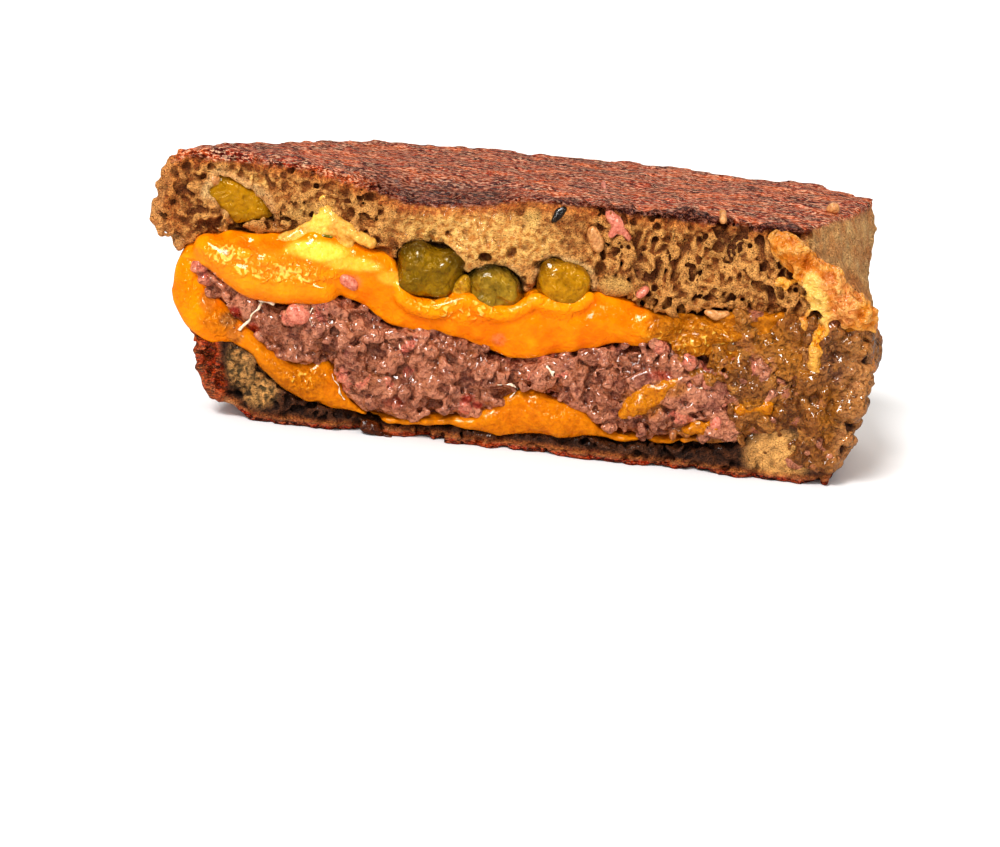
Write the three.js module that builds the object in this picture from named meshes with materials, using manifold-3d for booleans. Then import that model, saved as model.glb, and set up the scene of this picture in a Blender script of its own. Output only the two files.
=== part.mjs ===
// Half of a patty melt: two slices of fried rye bread with a beef patty between
// two layers of melted cheese, pickles under the upper slice, and a crisp flap
// of fried cheese on the right corner. It was cut lengthwise, and the flat cut
// face is the front.
//
// Millimetres. +X runs right along the cut face, +Y runs back from the cut face
// to the rounded crust, +Z is up, and the half rests on its flat fried base.

import * as THREE from 'three';
import { mergeVertices } from 'three/addons/utils/BufferGeometryUtils.js';
import { ImprovedNoise } from 'three/addons/math/ImprovedNoise.js';
import Module from 'manifold-3d';

const { clamp, lerp, smoothstep, degToRad } = THREE.MathUtils;

// ---------------------------------------------------------------- dimensions

// Air left between two pieces that touch.
const GAP = 0.3;

// Steps of the mesh along the cut face, back into the food, and up a layer.
const STEPS_ALONG = 44;
const STEPS_BACK = 6;
const STEPS_UP_BREAD = 7;
const STEPS_UP_BASE = 6;
const STEPS_UP_PATTY = 7;
const STEPS_UP_CHEESE = 4;

// The steps back crowd towards the cut face by this power.
const CROWD_TO_CUT = 1.5;

// Ends of the cut face at each height, as [height, x]. The lower slice curls up
// at the left, cheese swells out above it, and the upper slice overhangs both.
const LEFT_END = [
  [0, -46], [2, -50], [5.5, -54.3], [13, -57], [17, -58.4], [20, -61.4],
  [24, -63.2], [28, -62.6], [30.3, -61], [32, -63.6], [34, -66], [38, -66.7],
  [42, -66], [46, -64], [48.3, -60.4],
];
// At the right the corner leans: it is widest at the lower slice, and steps in
// towards the fried top.
const RIGHT_END = [
  [0, 59.5], [5, 61.6], [12, 62.8], [20, 63.4], [27, 63.2], [30, 62.2],
  [33, 59.2], [36, 54.8], [40, 50.8], [44, 48.6], [47, 47.6],
];
// Where the right side ends at the back, as [height, x].
const BACK_RIGHT_END = [
  [0, 61], [5, 64.5], [12, 67], [22, 67.8], [28, 67], [31, 66],
  [38, 67], [44, 66.4], [47, 65],
];
// Depth of the half behind the cut face, as [x, depth]: a rounded loaf outline,
// narrow at the left corner and square at the right.
const DEPTH = [
  [-67, 5], [-61.7, 9.5], [-51, 20], [-37, 36], [-27, 43.5], [-16, 47.5],
  [0, 50.5], [20, 52], [43, 49], [56, 46.8], [62, 44], [65.5, 40], [68, 34],
];
// How far the crust is drawn in at each height, as [height, inset]: rounded rims
// on both slices, and a groove where the filling shows between them.
const CRUST_INSET = [
  [0, 4.5], [1.5, 2.6], [5, 0.9], [10, 0.2], [13, 0.8], [16, 2.2], [20, 2.6],
  [25, 2], [28, 1.2], [31, 1.6], [34, 0.3], [40, 0], [44, 0.5], [46, 1.4], [47.5, 3],
];
// The left corner is this much less deep than it is long.
const LEFT_CORNER_TURN = 2;
// The right side swells by this much halfway back, past this share of the length.
const RIGHT_SIDE_SWELL = 1.8;
const RIGHT_SIDE_FROM = 0.8;

// Surfaces between the layers on the cut face, as [x, height].
const CUT_LINES = {
  baseTop: [
    [-58.4, 17], [-52, 15.8], [-48, 14.2], [-45, 11.5], [-42, 8.7], [-38, 6],
    [-33, 4.6], [-25, 3], [-18, 2.6], [-10, 3.3], [0, 2.8], [8, 4.1], [15, 4],
    [20, 3.3], [25, 4.1], [32, 4.2], [40, 6], [46, 8.7], [50, 12], [54, 14.5],
    [57, 18], [60, 23.3], [63.2, 27],
  ],
  pattyBottom: [
    [-63.2, 23.5], [-58, 22], [-54, 20.8], [-50, 19.6], [-48, 17], [-45, 14.5],
    [-42, 12.8], [-37, 12.2], [-33, 12.4], [-31, 10.6], [-28, 5.8], [-24, 4],
    [-18, 3.6], [-12, 4.4], [-5, 5.4], [-2, 6.8], [2, 11.2], [6, 12], [10, 10],
    [15, 8.4], [19, 5.8], [24, 5.2], [30, 5.3], [35, 6.6], [40, 7.3], [46, 11.6],
    [50, 14], [54, 17], [58, 22], [61, 26], [63.2, 28.2],
  ],
  pattyTop: [
    [-62.7, 28], [-58, 27.5], [-55, 27.2], [-52, 26], [-50, 25], [-47, 23.6],
    [-43, 23], [-38, 23], [-34, 25.4], [-30, 24.3], [-27, 23.3], [-22, 21],
    [-18, 20.3], [-12, 20.3], [-8, 19.2], [-4, 18.2], [2, 17.4], [8, 18.5],
    [13, 20.2], [18, 21.8], [24, 22], [28, 22.8], [34, 21.2], [40, 20.6],
    [45, 24], [50, 26], [56, 28], [62.4, 29.5],
  ],
  cheeseTop: [
    [-61, 30.2], [-57, 32.3], [-52, 34.2], [-46, 34.8], [-41, 35.6], [-37, 37.4],
    [-33, 36], [-28, 34.2], [-24, 33], [-20, 31], [-12, 29.6], [-4, 29],
    [4, 29.5], [10, 30.6], [15, 31], [20, 30.2], [25, 28.2], [30, 29], [36, 30],
    [45, 30.3], [55, 30.6], [61.6, 30.8],
  ],
  // The fried top sags over the hollow crumb left of the middle.
  top: [
    [-60.4, 48.3], [-48.7, 47.8], [-39, 47.3], [-29.3, 45.4], [-19.5, 43.4],
    [-9.8, 44.4], [0, 46.3], [19.5, 46.3], [39, 46.2], [47.7, 46.1],
  ],
};
// The same surfaces at the crust behind, as [share of the length, height].
const CRUST_LINES = {
  baseTop: [[0, 17], [0.08, 13.5], [0.25, 11], [0.6, 10.4], [0.9, 12.5], [1, 17]],
  pattyBottom: [[0, 23], [0.1, 18], [0.25, 13.8], [0.6, 13], [0.9, 15], [1, 19]],
  pattyTop: [[0, 28], [0.1, 26.4], [0.3, 24.6], [0.7, 24], [1, 25.8]],
  cheeseTop: [[0, 30.3], [0.1, 31], [0.3, 29.6], [0.7, 29], [1, 29.4]],
  top: [[0, 47.8], [0.2, 47.5], [0.5, 47.1], [0.8, 46.6], [1, 46]],
};
// The cut face's lines have turned into the crust's at this share of the depth.
const LINES_BLEND = 0.55;
// The sag of the fried top ends sooner.
const SAG_BLEND = 0.2;
// A layer is nowhere thinner than this.
const THINNEST = 0.8;

// How far each layer swells out of the cut face, as [x, swell].
const SWELL = {
  base: [[-60, 0.2], [-40, 0.6], [-10, -0.8], [0, -0.8], [10, 0], [50, 0.8], [64, 0]],
  lowerCheese: [[-63, 0.8], [-50, 1], [-40, 2], [-30, 1], [0, 0.6], [10, 1.4], [25, 0.2], [64, 0]],
  patty: [[-63, 0.4], [-52, 0.4], [-44, 2], [-20, 2.2], [0, 1.4], [20, 1.6], [40, 1.4], [64, 0]],
  upperCheese: [[-61, 0.8], [-50, 3.6], [-40, 3], [-30, 1.4], [0, 1.6], [20, 1.8], [32, 0.2], [64, 0]],
  upperSlice: [[-66, 0.6], [-50, 0.4], [-20, 0.6], [0, 0.8], [20, -0.4], [48, 0]],
};
// Crags on the cut face: height of the relief, and the size of one lump.
const CRAGS = {
  base: { rise: 0.5, lump: 4 },
  lowerCheese: { rise: 0.3, lump: 9 },
  patty: { rise: 2.2, lump: 5.5 },
  upperCheese: { rise: 0.35, lump: 9 },
  upperSlice: { rise: 0.7, lump: 4.5 },
};
// Dents in the fried top: depth, size of one dent, and the share of the layer's
// height that they start from.
const TOP_DENTS = { rise: 0.5, lump: 11, from: 0.7 };
// The relief of the cut face has died out at this share of the depth.
const RELIEF_BLEND = 0.3;

// Pickle chips and chunks: middle of the piece, half sizes, and turn about Y.
const PICKLES = [
  { name: 'pickle_round', middle: [-16.3, 1.6, 31.2], half: [5.7, 4.6, 4.9], turn: 0 },
  { name: 'pickle_dark', middle: [-4.2, 1.8, 28.8], half: [5, 4.4, 4.3], turn: -8 },
  { name: 'pickle_pale', middle: [8, 2, 31.8], half: [5, 4.6, 4.1], turn: 12 },
];
const PICKLE_BUMPS = { rise: 0.4, lump: 3.5 };
const PICKLE_STEPS = [5, 3, 5];

// The pickle wedge baked into the upper slice: its outline on the cut face as
// [x, height], and how deep it goes in.
const WEDGE_OUTLINE = [
  [-55, 44.6], [-50.5, 43.2], [-46, 41], [-45, 38], [-51, 35.6], [-56.8, 40.6],
];
const WEDGE_DEPTH = 5;
const WEDGE_EDGE = 0.5;

// Fried cheese flap along the leaning right corner: points of its middle line as
// [x, y, z], with the half width and half thickness there.
const FLAP_LINE = [
  [43.6, -0.4, 44.8], [47.6, -0.9, 41.8], [51.6, -1.5, 38.6],
  [56.2, -1.9, 35.6], [60.6, -1.6, 32.8], [64.6, -0.6, 30.4],
];
const FLAP_HALF_WIDTH = [1.2, 2.2, 3.2, 3.5, 3, 1];
const FLAP_HALF_THICKNESS = [0.8, 1.5, 1.9, 2.1, 1.6, 0.7];
const FLAP_RAGGED = { rise: 0.5, lump: 6 };
const FLAP_STEPS = [14, 3, 3];

// Corners of the pickle chunks follow a superellipse of this power.
const ROUNDING = 3.2;

// ------------------------------------------------------------------- helpers

const noise = new ImprovedNoise();

// A smooth line through [place, value] points, held level past its two ends.
function lineThrough(points) {
  const places = points.map((point) => point[0]);
  const values = points.map((point) => point[1]);
  const curve = new THREE.CubicInterpolant(places, values, 1, new Float32Array(1));
  const last = places[places.length - 1];
  return (place) => curve.evaluate(clamp(place, places[0], last))[0];
}

const leftEnd = lineThrough(LEFT_END);
const rightEnd = lineThrough(RIGHT_END);
const backRightEnd = lineThrough(BACK_RIGHT_END);
const depthAt = lineThrough(DEPTH);
const crustInset = lineThrough(CRUST_INSET);

// Share of the cut face's length at which a point of it lies.
function shareAlong(x, z) {
  return (x - leftEnd(z)) / (rightEnd(z) - leftEnd(z));
}

// Height of one surface between layers: the cut face's line at the front turns
// into the crust's line behind.
function surface(name, blend) {
  const front = lineThrough(CUT_LINES[name].map(([x, z]) => [shareAlong(x, z), z]));
  const back = lineThrough(CRUST_LINES[name]);
  return (along, inward) => lerp(front(along), back(along), smoothstep(inward, 0, blend));
}

// The second surface, kept at least the thinnest layer above the first.
function keptAbove(lower, upper) {
  return (along, inward) => Math.max(upper(along, inward), lower(along, inward) + THINNEST);
}

const groundLevel = () => 0;
const baseTop = surface('baseTop', LINES_BLEND);
const pattyBottom = keptAbove(baseTop, surface('pattyBottom', LINES_BLEND));
const pattyTop = keptAbove(pattyBottom, surface('pattyTop', LINES_BLEND));
const cheeseTop = keptAbove(pattyTop, surface('cheeseTop', LINES_BLEND));
const friedTop = surface('top', SAG_BLEND);

// A point of the food from its share of the length, its share of the depth and
// its height.
function placeInFood(along, inward, z) {
  const frontX = lerp(leftEnd(z), rightEnd(z), along);
  const backX = lerp(leftEnd(z) + LEFT_CORNER_TURN, backRightEnd(z), along);
  const swell = RIGHT_SIDE_SWELL * Math.sin(Math.PI * inward) * smoothstep(along, RIGHT_SIDE_FROM, 1);
  const x = lerp(frontX, backX, inward) + swell;
  const y = inward * (depthAt(backX) - crustInset(z));
  return new THREE.Vector3(x, y, z);
}

// A closed mesh whose faces share their corner points.
function closed(geometry) {
  geometry.deleteAttribute('normal');
  geometry.deleteAttribute('uv');
  return mergeVertices(geometry, 1e-4);
}

// Splits the squares of a box's underside along the same diagonal as those of its
// upper side, so that the facets of two stacked layers lie evenly together.
function splitAlike(box) {
  const underside = box.groups[5];
  const corners = box.index;
  for (let i = underside.start; i < underside.start + underside.count; i += 6) {
    const first = corners.getX(i);
    const opposite = corners.getX(i + 4);
    corners.setX(i + 2, opposite);
    corners.setX(i + 3, first);
  }
  box.clearGroups();
  return box;
}

// Moves each point of a unit box, given from 0 to 1 along its three sides.
function shapeBox([stepsX, stepsY, stepsZ], move) {
  const box = new THREE.BoxGeometry(1, 1, 1, stepsX, stepsY, stepsZ);
  const geometry = closed(splitAlike(box));
  const points = geometry.attributes.position;
  for (let i = 0; i < points.count; i++) {
    const moved = move(points.getX(i) + 0.5, points.getY(i) + 0.5, points.getZ(i) + 0.5);
    points.setXYZ(i, moved.x, moved.y, moved.z);
  }
  return geometry;
}

// One layer that runs through the food between two surfaces. Its cut face
// swells and is craggy between them, and the surfaces themselves stay smooth,
// so that the next layer fits.
function layer({ lower, upper, stepsUp, swell, crags, seed, dents = null }) {
  const swellAt = lineThrough(swell);
  const steps = [STEPS_ALONG, STEPS_BACK, stepsUp];
  return shapeBox(steps, (along, back, up) => {
    const inward = back ** CROWD_TO_CUT;
    const floor = lower(along, inward) + (lower === groundLevel ? 0 : GAP / 2);
    const ceiling = upper(along, inward) - (upper === friedTop ? 0 : GAP / 2);
    const point = placeInFood(along, inward, lerp(floor, ceiling, up));
    const nearCut = 1 - smoothstep(inward, 0, RELIEF_BLEND);
    const between = Math.sqrt(Math.sin(Math.PI * clamp(up, 0, 1)));
    const lump = noise.noise(point.x / crags.lump, point.z / crags.lump, seed);
    point.y -= nearCut * between * (swellAt(point.x) + crags.rise * lump);
    if (dents) {
      const dent = noise.noise(point.x / dents.lump, point.y / dents.lump, seed);
      point.z += dents.rise * dent * smoothstep(up, dents.from, 1);
    }
    return point;
  });
}

// A pickle chunk with rounded corners and a slightly lumpy face, grown on every
// side where it is used to cut its own pocket.
function pickle({ middle, half, turn }, seed, grown) {
  const geometry = shapeBox(PICKLE_STEPS, (a, b, c) => {
    const corner = new THREE.Vector3(2 * a - 1, 2 * b - 1, 2 * c - 1);
    const total = corner.toArray().reduce((sum, side) => sum + Math.abs(side) ** ROUNDING, 0);
    const point = corner.multiplyScalar(total ** (-1 / ROUNDING));
    const placeX = point.x * half[0] / PICKLE_BUMPS.lump;
    const placeZ = point.z * half[2] / PICKLE_BUMPS.lump;
    const bump = PICKLE_BUMPS.rise * noise.noise(placeX, seed, placeZ);
    return new THREE.Vector3(
      point.x * (half[0] + bump + grown),
      point.y * (half[1] + grown),
      point.z * (half[2] + bump + grown),
    );
  });
  geometry.rotateY(degToRad(turn));
  geometry.translate(...middle);
  return geometry;
}

// The pickle wedge: a flat outline pushed back into the bread.
function wedge(grown) {
  const outline = new THREE.Shape(WEDGE_OUTLINE.map(([x, z]) => new THREE.Vector2(x, z)));
  const geometry = closed(new THREE.ExtrudeGeometry(outline, {
    depth: WEDGE_DEPTH + 2 * grown,
    bevelThickness: WEDGE_EDGE,
    bevelSize: WEDGE_EDGE,
    bevelOffset: grown - WEDGE_EDGE,
    bevelSegments: 1,
  }));
  geometry.rotateX(Math.PI / 2);
  geometry.translate(0, WEDGE_DEPTH + grown, 0);
  return geometry;
}

// The flap: a band with an oval section along its middle line, wide on the face,
// thin across and ragged along its edges.
function flap(grown) {
  const line = new THREE.CatmullRomCurve3(FLAP_LINE.map((point) => new THREE.Vector3(...point)));
  const last = FLAP_LINE.length - 1;
  const widthAt = lineThrough(FLAP_HALF_WIDTH.map((width, i) => [i / last, width]));
  const thicknessAt = lineThrough(FLAP_HALF_THICKNESS.map((width, i) => [i / last, width]));
  const waves = line.getLength() / FLAP_RAGGED.lump;
  const backwards = new THREE.Vector3(0, 1, 0);
  return shapeBox(FLAP_STEPS, (a, b, c) => {
    const onward = line.getTangent(a);
    const across = new THREE.Vector3().crossVectors(onward, backwards).normalize();
    const through = new THREE.Vector3().crossVectors(across, onward).normalize();
    const side = 2 * c - 1;
    const depth = 2 * b - 1;
    const reach = Math.hypot(side, depth);
    const oval = reach > 0 ? Math.max(Math.abs(side), Math.abs(depth)) / reach : 0;
    const ragged = FLAP_RAGGED.rise * noise.noise(a * waves, side, 0.3);
    return line.getPoint(a)
      .addScaledVector(across, side * oval * (widthAt(a) + ragged + grown))
      .addScaledVector(through, depth * oval * (thicknessAt(a) + grown))
      .addScaledVector(onward, (2 * a - 1) * grown);
  });
}

// -------------------------------------------------------------------- pieces

const wasm = await Module();
wasm.setup();

function toSolid(geometry) {
  return new wasm.Manifold(new wasm.Mesh({
    numProp: 3,
    vertProperties: new Float32Array(geometry.attributes.position.array),
    triVerts: new Uint32Array(geometry.index.array),
  }));
}

function toGeometry(solid) {
  const mesh = solid.getMesh();
  const geometry = new THREE.BufferGeometry();
  geometry.setAttribute('position', new THREE.BufferAttribute(mesh.vertProperties, 3));
  geometry.setIndex(new THREE.BufferAttribute(mesh.triVerts, 1));
  return geometry;
}

// The largest body of a cut solid: a scrap that a cut leaves loose is dropped.
function largest(solid) {
  return solid.decompose().reduce((most, body) => (body.volume() > most.volume() ? body : most));
}

// What is bedded in the layers: each is made at its size, or grown by the gap to
// cut its pocket in the layers named.
const BEDDED = [
  ...PICKLES.map((piece, i) => ({
    name: piece.name,
    make: (grown) => pickle(piece, i + 0.5, grown),
    cuts: ['upper_slice', 'upper_cheese'],
  })),
  { name: 'pickle_wedge', make: wedge, cuts: ['upper_slice'] },
  { name: 'cheese_flap', make: flap, cuts: ['upper_slice', 'upper_cheese', 'patty'] },
];

const LAYERS = [
  {
    name: 'lower_slice', lower: groundLevel, upper: baseTop,
    stepsUp: STEPS_UP_BASE, swell: SWELL.base, crags: CRAGS.base, seed: 1.3,
  },
  {
    name: 'lower_cheese', lower: baseTop, upper: pattyBottom,
    stepsUp: STEPS_UP_CHEESE, swell: SWELL.lowerCheese, crags: CRAGS.lowerCheese, seed: 2.7,
  },
  {
    name: 'patty', lower: pattyBottom, upper: pattyTop,
    stepsUp: STEPS_UP_PATTY, swell: SWELL.patty, crags: CRAGS.patty, seed: 5.1,
  },
  {
    name: 'upper_cheese', lower: pattyTop, upper: cheeseTop,
    stepsUp: STEPS_UP_CHEESE, swell: SWELL.upperCheese, crags: CRAGS.upperCheese, seed: 7.9,
  },
  {
    name: 'upper_slice', lower: cheeseTop, upper: friedTop, dents: TOP_DENTS,
    stepsUp: STEPS_UP_BREAD, swell: SWELL.upperSlice, crags: CRAGS.upperSlice, seed: 9.4,
  },
];

const FINISHES = {
  lower_slice: { color: 0x9a6a3c, roughness: 0.85, metalness: 0 },
  lower_cheese: { color: 0xf59a12, roughness: 0.3, metalness: 0 },
  patty: { color: 0x855048, roughness: 0.5, metalness: 0 },
  upper_cheese: { color: 0xfba21a, roughness: 0.28, metalness: 0 },
  upper_slice: { color: 0xa8713c, roughness: 0.8, metalness: 0 },
  pickle_round: { color: 0x6f7214, roughness: 0.25, metalness: 0 },
  pickle_dark: { color: 0x4a5c2c, roughness: 0.25, metalness: 0 },
  pickle_pale: { color: 0x9a8a1e, roughness: 0.3, metalness: 0 },
  pickle_wedge: { color: 0xa08c1a, roughness: 0.35, metalness: 0 },
  cheese_flap: { color: 0xe89a3c, roughness: 0.45, metalness: 0 },
};

function piece(name, geometry) {
  geometry.computeVertexNormals();
  const mesh = new THREE.Mesh(geometry, new THREE.MeshStandardMaterial(FINISHES[name]));
  mesh.name = name;
  return mesh;
}

const half = new THREE.Group();

for (const spec of LAYERS) {
  const cutters = BEDDED.filter((bedded) => bedded.cuts.includes(spec.name));
  let solid = toSolid(layer(spec));
  for (const bedded of cutters) {
    solid = solid.subtract(toSolid(bedded.make(GAP)));
  }
  half.add(piece(spec.name, toGeometry(largest(solid))));
}
for (const bedded of BEDDED) {
  half.add(piece(bedded.name, bedded.make(0)));
}

// The origin is the middle of the base, under the middle of the whole half.
const box = new THREE.Box3().setFromObject(half);
const middle = box.getCenter(new THREE.Vector3());
half.position.set(-middle.x, -middle.y, -box.min.z);

export default half;
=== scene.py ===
import math

import bpy
import numpy as np
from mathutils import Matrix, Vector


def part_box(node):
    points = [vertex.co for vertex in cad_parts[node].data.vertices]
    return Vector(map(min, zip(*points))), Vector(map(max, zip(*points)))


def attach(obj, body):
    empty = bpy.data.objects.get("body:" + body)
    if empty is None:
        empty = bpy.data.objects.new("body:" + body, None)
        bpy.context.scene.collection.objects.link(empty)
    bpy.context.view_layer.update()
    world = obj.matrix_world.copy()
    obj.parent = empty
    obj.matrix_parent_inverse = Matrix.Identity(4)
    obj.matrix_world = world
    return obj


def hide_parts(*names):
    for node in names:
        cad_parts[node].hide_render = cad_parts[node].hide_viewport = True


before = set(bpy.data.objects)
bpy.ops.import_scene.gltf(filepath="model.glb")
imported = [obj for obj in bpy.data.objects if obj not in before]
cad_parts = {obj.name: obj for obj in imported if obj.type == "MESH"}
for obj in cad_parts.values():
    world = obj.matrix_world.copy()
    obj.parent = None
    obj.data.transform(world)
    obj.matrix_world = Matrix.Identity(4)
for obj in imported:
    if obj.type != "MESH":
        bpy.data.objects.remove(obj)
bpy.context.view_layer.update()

import openvdb
from mathutils import Matrix, Vector

# ------------------------------------------------------------------ lower slice
# The lower slice of a griddled rye loaf: brown open crumb, darkened further with painted
# shade as this slice lies in shadow, fried dark underneath and curled up at both ends by
# the weight of the filling. Sizes here are in millimetres from the cut face: x along it,
# y back into the bread, z up.

MM = 0.001


def box_of(node):
    """The low and high corners of a CAD node's box, in millimetres of the frame."""
    return np.array([list(corner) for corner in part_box(node)]) / MM


# The left end and the front of the pickle wedge, as it lies in the cut face.
WEDGE_LEFT = -56.8
WEDGE_FRONT = -0.5
wedge_left, wedge_front, _ = box_of("pickle_wedge")[0]
TO_CUT = np.array([WEDGE_LEFT - wedge_left, WEDGE_FRONT - wedge_front, 0.0])

# Distances are kept at points half a millimetre apart in a room round the half.
VOXEL = 0.5
ROOM_LOW = np.array([-76.0, -9.0, -5.0])
ROOM_HIGH = np.array([77.0, 60.0, 56.0])
ROOM_FIRST = tuple(int(v) for v in ROOM_LOW / VOXEL)
ROOM_SHAPE = tuple(int(v) + 1 for v in (ROOM_HIGH - ROOM_LOW) / VOXEL)
FAR = 6.0


def distance_from(points, **faces):
    """How far each point of the room lies outside a closed mesh, negative inside it."""
    grid = openvdb.FloatGrid.createLevelSetFromPolygons(
        points.astype(np.float32),
        transform=openvdb.createLinearTransform(VOXEL),
        halfWidth=FAR / VOXEL,
        **faces,
    )
    room = np.full(ROOM_SHAPE, FAR, np.float32)
    grid.copyToArray(room, ijk=ROOM_FIRST)
    return room


def distance_of(node):
    """The same for a CAD node."""
    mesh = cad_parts[node].data
    mesh.calc_loop_triangles()
    points = np.empty(3 * len(mesh.vertices), np.float32)
    mesh.vertices.foreach_get("co", points)
    corners = np.empty(3 * len(mesh.loop_triangles), np.int32)
    mesh.loop_triangles.foreach_get("vertices", corners)
    return distance_from(
        points.reshape(-1, 3) / MM + TO_CUT,
        triangles=corners.reshape(-1, 3).astype(np.uint32),
    )


def softened(room, passes):
    """A room's distances with corners and facets worn round, more with more passes."""
    for _ in range(passes):
        for axis in range(3):
            r = np.pad(room, [(2, 2) if a == axis else (0, 0) for a in range(3)], "edge")
            n = room.shape[axis]
            part = [np.take(r, range(k, k + n), axis) for k in range(5)]
            room = (part[0] + part[4] + 4 * (part[1] + part[3]) + 6 * part[2]) / 16
    return room


def fade(value, start, end):
    """0 at start, 1 at end, smooth between."""
    t = np.clip((value - start) / (end - start), 0, 1)
    return t * t * (3 - 2 * t)


def meet(a, b, width):
    """The nearer of two distances, joined by a fillet of that width."""
    h = np.clip(0.5 + 0.5 * (a - b) / width, 0, 1)
    return a + (b - a) * h - width * h * (1 - h)


def cut_from(a, b, width):
    """The first distance with the second one's solid cut away, with a rounded edge."""
    return -meet(-a, b, width)


def spline_rows(places, cell):
    """Cubic spline weights of evenly spaced values at the given places."""
    t = (places - places[0]) / cell
    first = np.floor(t).astype(int)
    f = t - first
    weights = ((1 - f) ** 3, 3 * f**3 - 6 * f**2 + 4, 3 * (f + f**2 - f**3) + 1, f**3)
    rows = np.zeros((len(places), first[-1] + 4), np.float32)
    for k, weight in enumerate(weights):
        rows[np.arange(len(places)), first + k] = weight / 6
    return rows


def look_up(room, points):
    """A room's values at any points."""
    i = np.clip(np.rint((points - ROOM_LOW) / VOXEL).astype(int), 0, np.array(room.shape) - 1)
    return room[tuple(i.T)]


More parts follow.
